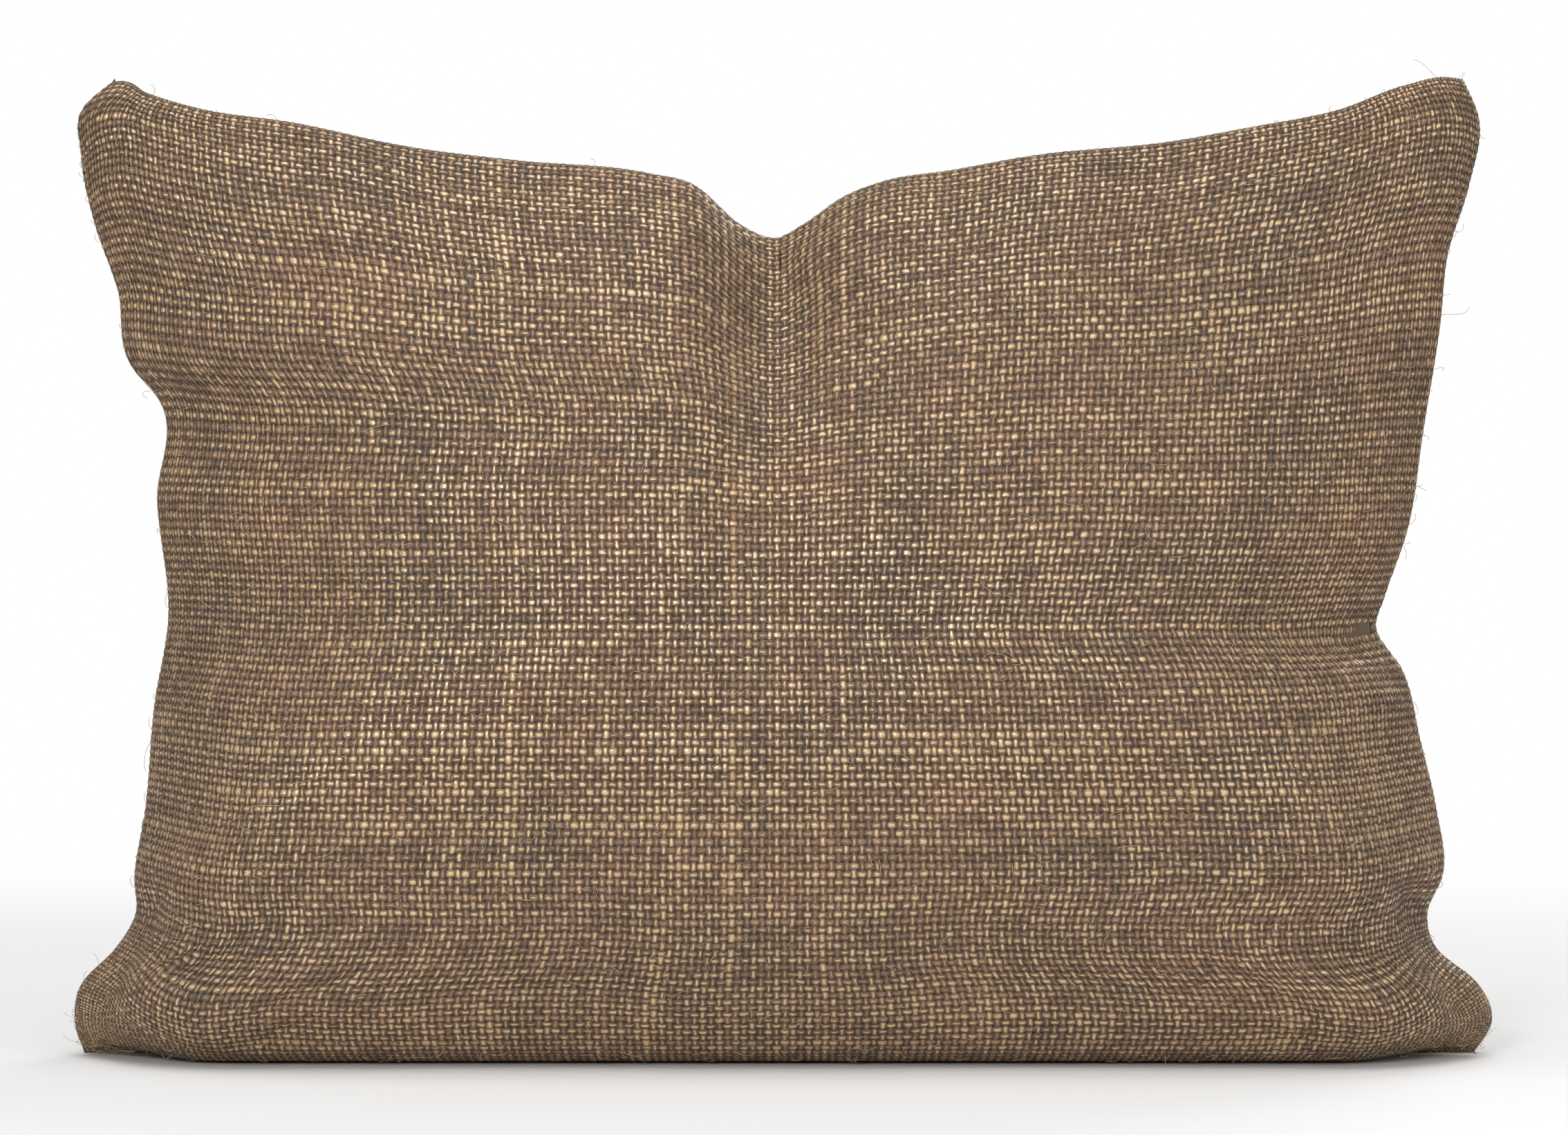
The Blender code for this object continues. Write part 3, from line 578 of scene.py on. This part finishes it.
def jute_material():
    """Plain weave of spun jute, with a worn golden wash on the crowns of its yarns.

    The chart's U counts warp yarns and V counts picks.  Each yarn is a half ellipse across
    and a cosine along; the higher of warp and weft shows.  Its colour comes from its own
    number, with painted shade darker down in the cloth between the yarns and painted light
    on their crowns, golden where it stands highest.
    """
    m = Nodes("jute_plain_weave")
    chart = m.nodes.new('ShaderNodeUVMap')
    chart.uv_map = "cloth"
    warp, weft = m.split(chart.outputs[0])[:2]
    sway_end = m.noise(m.place(m.times(m.math('FLOOR', warp), 3.7), m.times(weft, 0.55), 1.0), 1.0)
    sway_pick = m.noise(m.place(m.times(warp, 0.50), m.times(
        m.math('FLOOR', weft), 4.3), 2.0), 1.0)
    loose = m.noise(m.place(m.times(warp, 0.9), m.times(weft, 0.9), 7.0), 1.0)
    end, pick_no = m.math('FLOOR', warp), m.math('FLOOR', weft)
    from_end = m.scale_add(sway_end, 0.34, m.math('SUBTRACT', m.math('FRACT', warp), 0.67))
    from_pick = m.scale_add(sway_pick, 0.34, m.math('SUBTRACT', m.math('FRACT', weft), 0.67))
    sign = m.math('SUBTRACT', 1.0, m.times(2.0, m.math(
        'MODULO', m.math('ADD', end, pick_no), 2.0)))
    yarn_end = m.place(m.times(end, 7.31), m.times(weft, 0.21))
    yarn_pick = m.place(m.times(warp, 0.17), m.times(pick_no, 5.77), 3.0)
    slub_end, slub_pick = m.noise(yarn_end, 1.0, 1.0), m.noise(yarn_pick, 1.0, 1.0)
    cell = m.chance(m.place(end, pick_no, 4.0))
    thick_end = m.times(m.step(m.chance(m.place(end, 51.0)), 0.90, 0.94), m.step(
        m.noise(m.place(m.times(end, 2.9), m.times(weft, 0.05), 6.0), 1.0), 0.50, 0.60))
    thick_pick = m.times(m.step(m.chance(m.place(pick_no, 57.0)), 0.84, 0.88), m.step(
        m.noise(m.place(m.times(warp, 0.035), m.times(pick_no, 2.3), 6.0), 1.0), 0.48, 0.58))
    slub_end = m.scale_add(thick_end, 0.16, slub_end)
    slub_pick = m.scale_add(thick_pick, 0.18, slub_pick)
    fray = m.scale_add(m.noise(m.place(warp, weft, 11.0), 3.2, 2.0), 0.50, -0.25)
    wide_end = m.math('ADD', fray, m.scale_add(slub_end, 0.80, m.scale_add(
        m.chance(m.place(end, 31.0)), 0.14, 0.12)))
    wide_pick = m.math('ADD', fray, m.scale_add(slub_pick, 0.95, m.scale_add(
        m.chance(m.place(pick_no, 37.0)), 0.20, 0.10)))

    def half_round(offset, width):
        reach = m.math('DIVIDE', m.times(offset, 2.0), width)
        return m.math('SQRT', m.math('MAXIMUM', m.math(
            'SUBTRACT', 1.0, m.times(reach, reach)), 0.0))

    round_end, round_pick = half_round(from_end, wide_end), half_round(from_pick, wide_pick)

    def arch(offset):
        rise = m.math('MAXIMUM', m.math('COSINE', m.times(offset, math.pi)), 0.0)
        return m.times(sign, m.math('POWER', rise, 0.45))

    wave_end, wave_pick = arch(from_pick), arch(from_end)
    high_end = m.math('ADD', m.times(round_end, 0.9), m.times(wave_end, 0.62))
    high_pick = m.math('SUBTRACT', m.times(round_pick, 0.9), m.times(wave_pick, 0.62))
    warp_up = m.math('GREATER_THAN', high_end, high_pick)
    height = m.math('MAXIMUM', high_end, high_pick)
    twist = 0.22
    hair_end = m.noise(m.place(m.times(m.math('ADD', warp, m.times(
        weft, twist)), 9.0), m.times(weft, 1.3), 5.0), 1.0, 2.0)
    hair_pick = m.noise(m.place(m.times(warp, 1.3), m.times(m.math(
        'ADD', weft, m.times(warp, twist)), 9.0), 8.0), 1.0, 2.0)
    hair = m.pick(warp_up, hair_pick, hair_end)
    own = m.pick(warp_up, m.chance(m.place(pick_no, 3.5)), m.chance(m.place(end, 9.5)))
    drift = m.noise(m.place(m.times(warp, 0.045), m.times(weft, 0.06)), 1.0)
    shade = m.scale_add(drift, 1.1, m.scale_add(own, 0.44, -0.27))
    yarn = m.ramp(shade, [(0.0, (0.125, 0.103, 0.079)), (1.0, (0.220, 0.135, 0.097)),
                          (0.35, (0.160, 0.113, 0.082)), (0.7, (0.205, 0.134, 0.094))])
    straw = m.times(m.pick(warp_up, thick_pick, thick_end), 0.42)
    yarn = m.blend('MIX', straw, yarn, (0.36, 0.26, 0.145))
    yarn = m.blend('MULTIPLY', 1.0, yarn, m.ramp(cell, [
        (0.0, (0.84, 0.84, 0.84)), (1.0, (1.16, 1.15, 1.13))]))
    # Painted shade and light: the yarn colour is darkened down between the yarns and lightened on
    # their crowns, by height.
    depth = m.step(height, -0.05, 1.05)
    body = m.blend('MULTIPLY', 1.0, yarn, m.ramp(depth, [
        (0.0, (0.16, 0.135, 0.12)), (1.0, (1.30, 1.25, 1.20)), (0.55, (0.66, 0.61, 0.56))]))
    body = m.blend('MULTIPLY', 0.9, body, m.ramp(hair, [
        (0.30, (0.42, 0.40, 0.38)), (0.72, (1.35, 1.32, 1.28))]))
    wash_end = m.step(m.scale_add(m.chance(m.place(end, 21.0)), 0.25, slub_end), 0.42, 0.85)
    wash_pick = m.step(m.scale_add(m.chance(m.place(pick_no, 27.0)), 0.35, slub_pick), 0.38, 0.85)
    wash = m.pick(warp_up, wash_pick, wash_end)
    worn = m.scale_add(loose, 0.35, m.scale_add(hair, 0.9, height))
    worn = m.scale_add(wash, 0.24, m.scale_add(cell, 0.12, worn))
    crest = m.pick(warp_up, round_pick, round_end)
    worn = m.scale_add(crest, 1.1, worn)
    gold = m.times(m.step(worn, 3.08, 3.42), m.scale_add(wash, 0.65, 0.35))
    m.feed(m.shader.inputs['Base Color'], m.blend('MIX', gold, body, (0.64, 0.45, 0.215)))
    m.feed(m.shader.inputs['Metallic'], m.times(gold, 0.42))
    m.feed(m.shader.inputs['Roughness'], m.scale_add(gold, -0.30, 0.70))
    m.shader.inputs['Specular IOR Level'].default_value = 0.30
    m.feed(m.shader.inputs['Coat Weight'], m.times(gold, 0.70))
    m.shader.inputs['Coat Roughness'].default_value = 0.31
    m.shader.inputs['Coat IOR'].default_value = 1.95
    m.bump(m.scale_add(hair, 0.35, height), 0.00042, 0.9)
    return m.material


jute = jute_material()


def jute_panel(name, grid, end_samples, pick_samples, front):
    """One panel of the cover: its surface, with the weave raised on it."""
    length = SECTION_LENGTH * ((1 + ZIP_Q) if front else (1 - ZIP_Q))
    picks = int(round(length / PICK_PITCH))
    across = SHELL_STEP * int(round(ENDS * end_samples / SHELL_STEP)) + 1
    down = SHELL_STEP * int(round(picks * pick_samples / SHELL_STEP)) + 1
    points, normals = panel_surface(grid, across, down, front)
    warp = np.broadcast_to(np.linspace(0, ENDS - 0.001, across)[None, :], (down, across))
    weft = np.broadcast_to(np.linspace(0, picks - 0.001, down)[:, None], (down, across))
    height = plain_weave(warp, weft)
    edge = np.minimum(np.minimum(warp, ENDS - warp), weft if front else picks - weft)
    height = np.where(edge < 0.5, 0.0, height)
    points = points + height[..., None] * normals
    points[..., 2] = np.maximum(points[..., 2], 0.0)
    chart = np.stack((warp, weft), -1)
    unit = np.stack((warp / ENDS, weft / picks), -1)
    mesh = shell_mesh(name, points, SHELL_STEP, COVER_THICK, normals,
                      {"cloth": chart, "OFBake": unit})
    panel = place(name, mesh, "pillow", jute)
    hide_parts(name)


jute_panel("cover_front_panel", front_grid, 4.0, 3.0, True)
jute_panel("cover_back_panel", back_grid, 3.0, 3.0, False)

# ======================================================================================
# Lining, insert casing and filling.  Inside the cover are a cotton lining sewn in with it,
# and a bought insert: a white cotton casing stuffed with loose polyester fibre.
# ======================================================================================
def cotton_material(name, colour, thread):
    """Plain woven cotton: two crossed sets of fine ribs in its colour and its bump."""
    m = Nodes(name)
    cross = m.times(m.wave('X', thread, 0.6, 3.0), m.wave('Z', thread, 0.6, 3.0))
    m.colour(cross, [(0.0, tuple(0.72 * c for c in colour)), (1.0, colour)], 0.85)
    m.bump(cross, 0.0003, 0.3)
    return m.material


brown_cotton = cotton_material("brown_cotton_weave", (0.16, 0.11, 0.075), 700.0)
white_cotton = cotton_material("white_cotton_weave", (0.82, 0.80, 0.75), 900.0)
ZIP_HOLLOW = 0.0024       # how much deeper the inner layers lie behind the zip
LINING_IN, CASING_IN, FILLING_IN = 0.0032, 0.0046, 0.0060
INNER_SHRINK = 0.014      # how far the inner panels stop short of the seams
INNER_THICK = 0.0006


def behind_zip(points):
    """1 behind the zip, falling to 0 round it."""
    at_band = (points[..., 1] > 0) * np.exp(-((points[..., 2] - ZIP_Z) / 0.013) ** 4)
    return at_band * (1.0 - ease(ZIP_HALF + 0.004, ZIP_HALF + 0.020, np.abs(points[..., 0])))


def inner_panel(name, grid, front, inset, material):
    """A thin panel of cloth that lies inside the cover, inset from its middle surface."""
    points, normals = panel_surface(grid, 129, 97, front, INNER_SHRINK)
    depth = inset + ZIP_HOLLOW * behind_zip(points)
    mesh = shell_mesh(name, points - depth[..., None] * normals, SHELL_STEP,
                      INNER_THICK, normals, {})
    panel = place(name, mesh, "pillow", material)
    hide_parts(name)


for side_name, grid, front in (("front", front_grid, True), ("back", back_grid, False)):
    inner_panel("lining_%s_panel" % side_name, grid, front, LINING_IN, brown_cotton)
    inner_panel("insert_casing_%s" % side_name, grid, front, CASING_IN, white_cotton)


def fibre_material():
    """Loose polyester fibre: a white mass whose tufts show as soft noise."""
    m = Nodes("polyester_tufts")
    tufts = m.noise(m.here(), 90.0, 8.0, 1.5)
    m.colour(tufts, [(0.3, (0.70, 0.70, 0.69)), (0.7, (0.92, 0.92, 0.91))], 0.95)
    m.bump(tufts, 0.002, 0.8)
    return m.material


def filling_mesh(across, around, inset):
    """Closed form inside the casing: the whole loop of cloth, inset, its seams joined."""
    u, q = np.meshgrid(0.98 * equal_steps(across), np.linspace(-0.98, 0.98, around))
    points = filled_cloth(u, q)
    inward = -grid_normals(points)
    for line in (inward[:, 0], inward[:, -1], inward[0], inward[-1]):
        line[:, 1] = 0.0
        line /= np.linalg.norm(line, axis=-1, keepdims=True) + 1e-12
    points = points + (inset + ZIP_HOLLOW * behind_zip(points))[..., None] * inward
    half = around // 2
    front, back = points[:half + 1], points[half:][::-1]
    for edge in ((slice(None), 0), (slice(None), -1), (0, slice(None))):
        middle = (front[edge] + back[edge]) / 2.0
        front[edge] = middle
        back[edge] = middle
    mesh = bpy.data.meshes.new("insert_filling")
    mesh.from_pydata(points.reshape(-1, 3), [], grid_faces(around, across)[1].tolist())
    work = bmesh.new()
    work.from_mesh(mesh)
    bmesh.ops.remove_doubles(work, verts=work.verts, dist=0.00005)
    bmesh.ops.recalc_face_normals(work, faces=work.faces)
    work.to_mesh(mesh)
    work.free()
    mesh.shade_smooth()
    return mesh


filling = place("insert_filling", filling_mesh(97, 141, FILLING_IN), "pillow", fibre_material())
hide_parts("insert_filling")

# ======================================================================================
# Seam thread.  Brown sewing thread that joins the two panels up the left side, along the
# top and down the right side.  It lies inside the turned seam, in one running row.
# ======================================================================================
def tube_mesh(name, path, radius, sides):
    """Round tube along each row of path: rings square to the path, ends drawn to a point.

    path is (tubes, points, 3); radius is one number or an array (tubes, points).
    """
    tubes, points = path.shape[:2]
    ahead = np.gradient(path, axis=1)
    ahead /= np.linalg.norm(ahead, axis=-1, keepdims=True) + 1e-12
    lean = np.where(np.abs(ahead[..., 2:3]) > 0.9, [1.0, 0.0, 0.0], [0.0, 0.0, 1.0])
    across = np.cross(ahead, lean)
    across /= np.linalg.norm(across, axis=-1, keepdims=True) + 1e-12
    upright = np.cross(across, ahead)
    angle = np.linspace(0, 2 * np.pi, sides, endpoint=False)
    thick = np.broadcast_to(radius, (tubes, points))[..., None, None]
    rings = (path[:, :, None] + thick * (np.cos(angle)[:, None] * across[:, :, None]
                                         + np.sin(angle)[:, None] * upright[:, :, None]))
    number = np.arange(tubes * points * sides).reshape(tubes, points, sides)
    turned = np.roll(number, -1, axis=2)
    quads = np.stack((number[:, :-1], turned[:, :-1], turned[:, 1:], number[:, 1:]), -1)
    tips = np.stack((path[:, 0], path[:, -1]), 1)
    tip = number.size + np.arange(tubes * 2).reshape(tubes, 2)
    low = np.stack((turned[:, 0], number[:, 0], np.broadcast_to(tip[:, :1], (tubes, sides))), -1)
    high = np.stack((number[:, -1], turned[:, -1], np.broadcast_to(tip[:, 1:], (tubes, sides))), -1)
    places = np.concatenate((rings.reshape(-1, 3), tips.reshape(-1, 3)))
    faces = quads.reshape(-1, 4).tolist() + low.reshape(-1, 3).tolist() + high.reshape(-1, 3).tolist()
    mesh = bpy.data.meshes.new(name)
    mesh.from_pydata(places, [], faces)
    mesh.shade_smooth()
    return mesh


def thread_material(name, colour, turns):
    """Spun thread or loose fibre: slanting plies from a wave, lighter on their backs."""
    m = Nodes(name)
    plies = m.wave('DIAGONAL', turns, 1.0)
    m.colour(plies, [(0.2, tuple(0.55 * c for c in colour)), (0.8, colour)], 0.6)
    m.bump(plies, 0.0002, 0.5)
    return m.material


brown_thread = thread_material("brown_sewing_thread", (0.20, 0.14, 0.09), 500.0)
SEAM_AT = 0.985            # share of the way out to the seam
SEAM_POINTS = 240
THREAD_RADIUS = 0.0004
up_seam = np.linspace(-0.08, -SEAM_AT, SEAM_POINTS)
over = equal_steps(360)[6:-6]
seam_u = np.concatenate((np.full(SEAM_POINTS, -SEAM_AT), over, np.full(SEAM_POINTS, SEAM_AT)))
seam_q = np.concatenate((up_seam, np.full(len(over), -SEAM_AT), up_seam[::-1]))
seam_path = filled_cloth(seam_u, seam_q)
seam_path[:, 1] = 0.0004 * np.sin(np.arange(len(seam_path)) * 2.1)
seam_thread = place("cover_seam_thread", tube_mesh("cover_seam_thread", seam_path[None],
                                                   THREAD_RADIUS, 6), "pillow", brown_thread)
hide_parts("cover_seam_thread")

# ======================================================================================
# Hem stitching.  Lockstitch in brown thread along both lips of the opening, about eight
# stitches to the inch, through the turned hem and the zip tape.
# ======================================================================================
HEM_IN = 0.0032
STITCH_PITCH, STITCH_SHOW = 0.0031, 0.0025


def hem_stitches(name, side):
    """Row of stitches on one lip: each a short thread whose middle stands proud."""
    count = int(2 * ZIP_HALF / STITCH_PITCH)
    start_x = (np.arange(count) - (count - 1) / 2.0) * STITCH_PITCH
    t = np.linspace(-0.5, 0.5, 7)
    x = start_x[:, None] + t * STITCH_SHOW
    u = x / (HALF_WIDTH - 0.020)
    for _ in range(3):
        u = u - (filled_cloth(u, np.full_like(u, ZIP_Q))[..., 0] - x) / 0.22
    q = np.full_like(u, ZIP_Q + side * (LIP + HEM_IN) / SECTION_LENGTH)
    path = filled_cloth(u, q)
    over_q = filled_cloth(u, q + 0.001) - path
    out = np.cross(over_q, [1.0, 0.0, 0.0])
    out /= np.linalg.norm(out, axis=-1, keepdims=True)
    proud = 0.00085 - 0.0013 * (2 * np.abs(t)) ** 3
    path = path + out * proud[None, :, None]
    row = place(name, tube_mesh(name, path, 0.00030, 6), "pillow", brown_thread)
    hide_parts(name)


hem_stitches("hem_stitching_upper", 1)
hem_stitches("hem_stitching_lower", -1)

# ======================================================================================
# Zip.  Woven brown polyester tapes, nylon coils sewn along their edges, metal stops at
# both ends, and an aged brass slider with a hinged pull.
# ======================================================================================
TAPE_OUT = 0.0055         # outer face of the tapes, out from the zip's line
TAPE_THICK, TAPE_TURN, TAPE_RIB = 0.0005, 0.0022, 0.0008
COIL_OUT = 0.0067         # middle of the coils, out from the zip's line
COIL_PITCH, WIRE = 0.0016, 0.00032
TAPE_MIDDLE = 0.00525     # middle of the tapes' cloth, out from the zip's line
band_y = (zip_low[0].y + zip_high[1].y) / 2.0 - TAPE_MIDDLE * math.cos(ZIP_TILT)
band_z = (zip_low[0].z + zip_high[1].z) / 2.0 + TAPE_MIDDLE * math.sin(ZIP_TILT)


def on_zip(x, up, out):
    """Place on the zip: along it, up its slope and out from it."""
    return np.stack(np.broadcast_arrays(
        x, band_y + up * math.sin(ZIP_TILT) + out * math.cos(ZIP_TILT),
        band_z + up * math.cos(ZIP_TILT) - out * math.sin(ZIP_TILT)), -1)


def tape_material():
    """Herringbone tape: slanting ribs that turn back every few millimetres up the tape."""
    m = Nodes("herringbone_tape")
    place_at = m.split(m.here())
    slant = m.math('ADD', place_at['X'], m.math('PINGPONG', place_at['Z'], TAPE_TURN))
    ribs = m.math('SINE', m.times(slant, 2 * math.pi / TAPE_RIB))
    m.colour(ribs, [(0.0, (0.030, 0.020, 0.014)), (0.9, (0.105, 0.072, 0.050))], 0.7)
    m.bump(ribs, 0.0002, 0.4)
    return m.material


tape_finish = tape_material()


def zip_tape(name, side):
    """One tape: a flat woven strip with a selvedge cord along each edge, as a closed band.

    The round of the strip is a profile of up and out, carried along x.
    """
    inner, outer = 0.0002, 0.0118
    x = np.linspace(-ZIP_HALF, ZIP_HALF, 300)[:, None]
    share = np.linspace(0.0, 1.0, 14)
    rise = inner + share * (outer - inner)
    edge = 0.00012 * (np.exp(-((share - 0.04) / 0.05) ** 2) + np.exp(-((share - 0.96) / 0.05) ** 2))
    up = side * np.concatenate((rise, rise[::-1]))
    out = np.concatenate((TAPE_OUT + edge, TAPE_OUT - TAPE_THICK - edge[::-1]))
    band = on_zip(x, up, out)
    rows, cols = band.shape[:2]
    number = np.arange(rows * cols).reshape(rows, cols)
    turned = np.roll(number, -1, axis=1)
    quads = np.stack((number[:-1], turned[:-1], turned[1:], number[1:]), -1).reshape(-1, 4)
    half = cols // 2
    k = np.arange(half - 1)
    caps = [np.stack((row[k], row[k + 1], row[cols - 2 - k], row[cols - 1 - k]), -1)
            for row in (number[0], number[-1])]
    faces = np.concatenate((quads, caps[0][:, ::-1], caps[1]))
    mesh = bpy.data.meshes.new(name)
    mesh.from_pydata(band.reshape(-1, 3), [], faces.tolist())
    work = bmesh.new()
    work.from_mesh(mesh)
    bmesh.ops.recalc_face_normals(work, faces=work.faces)
    work.to_mesh(mesh)
    work.free()
    tape = place(name, mesh, "pillow", tape_finish)
    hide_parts(name)


def nylon_material():
    """Moulded brown nylon wire, slightly glossy, uneven in its brown."""
    m = Nodes("brown_nylon_wire")
    tone = m.noise(m.here(), 900.0)
    m.colour(tone, [(0.3, (0.055, 0.036, 0.024)), (0.7, (0.085, 0.058, 0.038))], 0.32)
    return m.material


nylon = nylon_material()


def zip_coil(name, side):
    """One coil: wire wound round a line, flattened, the teeth of the two coils half a turn apart."""
    lo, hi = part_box(name)
    turns = int(round((hi.x - lo.x) / COIL_PITCH))
    turn = np.linspace(0.0, turns, turns * 12 + 1)
    angle = 2 * np.pi * turn + (0.0 if side > 0 else np.pi)
    x = lo.x + WIRE + (hi.x - lo.x - 2 * WIRE) * turn / turns
    reach = 0.0014 - WIRE
    up = side * (0.0010 + reach * np.cos(angle))
    out = COIL_OUT + (0.0009 - WIRE) * np.sin(angle)
    mesh = tube_mesh(name, on_zip(x, up, out)[None], WIRE, 5)
    coil = place(name, mesh, "pillow", nylon)
    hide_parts(name)


def brass_material():
    """Aged brass: smoother and brighter where it is worn, browned in between."""
    m = Nodes("aged_brass_plating")
    age = m.noise(m.here(), 1400.0, 5.0)
    m.colour(age, [(0.30, (0.20, 0.13, 0.060)), (0.62, (0.50, 0.36, 0.17))], 0.4)
    m.feed(m.shader.inputs['Roughness'], m.ramp(age, [
        (0.35, (0.55, 0.55, 0.55)), (0.65, (0.28, 0.28, 0.28))]))
    m.shader.inputs['Metallic'].default_value = 0.9
    m.bump(age, 0.0002, 0.15)
    return m.material


brass = brass_material()


def finished_metal(name, body, bevel):
    """Copy of a metal piece of the zip, its doubles merged and its edges rounded."""
    mesh = bpy.data.objects[name].data.copy()
    mesh.name = name + "_finished"
    work = bmesh.new()
    work.from_mesh(mesh)
    bmesh.ops.remove_doubles(work, verts=work.verts, dist=0.000002)
    bmesh.ops.dissolve_limit(work, angle_limit=0.02, verts=work.verts, edges=work.edges)
    work.to_mesh(mesh)
    work.free()
    mesh.materials.clear()
    piece = place(name + "_finished", mesh, body, brass)
    round_over = piece.modifiers.new("round_over", 'BEVEL')
    round_over.width = bevel
    round_over.segments = 2
    round_over.limit_method = 'ANGLE'
    round_over.angle_limit = math.radians(35.0)
    mesh.shade_smooth()
    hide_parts(name)


for half_name, side in (("upper", 1), ("lower", -1)):
    zip_tape("zip_tape_" + half_name, side)
    zip_coil("zip_coil_" + half_name, side)
    finished_metal("zip_top_stop_" + half_name, "pillow", 0.00018)
finished_metal("zip_bottom_stop", "pillow", 0.00018)
finished_metal("zip_slider", "zip_slider", 0.00016)
finished_metal("zip_pull", "zip_pull", 0.00020)

# ======================================================================================
# Stray fibres.  Ends of jute that have worked out of the yarn, fine and springy, lying
# over the face in loose arcs.
# ======================================================================================
def stray_fibres(name, grid, front, count, seed):
    """Fine bent hairs: each starts in the cloth, rises, and curls back along the face."""
    rng = np.random.default_rng(seed)
    points, normals = panel_surface(grid, 257, 193, front)
    row = rng.integers(3, points.shape[0] - 3, count)
    col = rng.integers(2, points.shape[1] - 2, count)
    root, out = points[row, col], normals[row, col]
    heading = rng.uniform(0, 2 * np.pi, count)
    right = points[row, col + 1] - points[row, col - 1]
    right /= np.linalg.norm(right, axis=-1, keepdims=True)
    upward = np.cross(out, right)
    length = rng.gamma(2.4, 0.0020, count)
    curl, hook = rng.normal(0.0, 1.0, count), rng.normal(0.0, 1.6, count)
    t = np.linspace(0.0, 1.0, 7)
    turn = heading[:, None] + curl[:, None] * t + hook[:, None] * t ** 3
    step = length[:, None] / 6.0
    along_right = np.cumsum(np.cos(turn) * step, axis=1)
    along_up = np.cumsum(np.sin(turn) * step, axis=1)
    rise = 0.0004 + rng.uniform(0.1, 1.0, count)[:, None] * 0.0016 * np.sin(np.pi * t) ** 0.7
    path = (root[:, None] + along_right[..., None] * right[:, None]
            + along_up[..., None] * upward[:, None] + rise[..., None] * out[:, None])
    path[..., 2] = np.maximum(path[..., 2], 0.0004)
    hairs = place(name, tube_mesh(name, path, 0.00009, 3), "pillow", fibre_finish)


fibre_finish = thread_material("loose_jute_fibre", (0.58, 0.45, 0.27), 300.0)
stray_fibres("stray_fibres_front", front_grid, True, 3000, 31)
stray_fibres("stray_fibres_back", back_grid, False, 1600, 32)

# ======================================================================================
# Floor, light and camera.  A plain pale sheet lies under the pillow; soft lamps stand to the
# left, to the right, above and behind, and the camera looks square at the front.
# ======================================================================================
FLOOR_SIDE = 6.0
corner = np.array([(-1, -1), (1, -1), (1, 1), (-1, 1)]) * FLOOR_SIDE / 2.0
floor_mesh = bpy.data.meshes.new("floor")
floor_mesh.from_pydata(np.column_stack((corner, np.full(4, -0.0008))), [], [(0, 1, 2, 3)])
floor = bpy.data.objects.new("floor", floor_mesh)
bpy.context.scene.collection.objects.link(floor)
paper = Nodes("floor_paper")
place_at = paper.nodes.new('ShaderNodeTexCoord')
away = paper.nodes.new('ShaderNodeVectorMath')
away.operation = 'LENGTH'
paper.links.new(place_at.outputs['Object'], away.inputs[0])
clear = paper.nodes.new('ShaderNodeBsdfTransparent')
fade = paper.nodes.new('ShaderNodeMixShader')
paper.links.new(paper.step(away.outputs['Value'], 0.35, 1.10), fade.inputs[0])
paper.links.new(paper.shader.outputs[0], fade.inputs[1])
paper.links.new(clear.outputs[0], fade.inputs[2])
paper.links.new(fade.outputs[0], paper.nodes['Material Output'].inputs['Surface'])
paper.shader.inputs['Base Color'].default_value = (0.86, 0.86, 0.86, 1.0)
paper.shader.inputs['Roughness'].default_value = 0.9
floor_mesh.materials.append(paper.material)


def softbox(name, where, aim, size, power):
    """Square area light at a place, turned to a point."""
    data = bpy.data.lights.new(name, 'AREA')
    data.size = size
    data.energy = power
    lamp = bpy.data.objects.new(name, data)
    bpy.context.scene.collection.objects.link(lamp)
    lamp.location = where
    lamp.rotation_euler = (Vector(aim) - Vector(where)).to_track_quat('-Z', 'Y').to_euler()


softbox("key_light", (-0.46, -1.75, 0.60), (-0.05, 0.0, 0.16), 0.36, 14.0)
softbox("fill_light", (1.15, -1.50, 0.70), (0.05, 0.0, 0.16), 0.80, 5.5)
softbox("rear_light", (0.9, 1.7, 1.2), (0.0, 0.0, 0.16), 1.2, 14.0)
softbox("top_light", (-0.1, -0.55, 2.0), (0.0, -0.05, 0.16), 1.8, 26.0)
world = bpy.data.worlds.new("studio")
world.use_nodes = True
air = world.node_tree.nodes['Background']
seen = world.node_tree.nodes.new('ShaderNodeLightPath')
level = world.node_tree.nodes.new('ShaderNodeMix')
level.inputs[2].default_value = 0.38
level.inputs[3].default_value = 1.0
world.node_tree.links.new(seen.outputs['Is Camera Ray'], level.inputs[0])
world.node_tree.links.new(level.outputs[0], air.inputs['Strength'])
air.inputs['Color'].default_value = (1.0, 1.0, 1.0, 1.0)
bpy.context.scene.world = world
bpy.context.scene.view_settings.view_transform = 'Standard'

FRAME_WIDTH = 0.5406      # width seen at the pillow's middle plane
DISTANCE = 1.55
camera_data = bpy.data.cameras.new("camera")
camera_data.sensor_width = 36.0
camera_data.lens = 36.0 * DISTANCE / FRAME_WIDTH
camera = bpy.data.objects.new("camera", camera_data)
bpy.context.scene.collection.objects.link(camera)
camera.location = (0.0003, -DISTANCE, 0.1673)
camera.rotation_euler = (math.radians(90.0), 0.0, 0.0)
bpy.context.scene.camera = camera
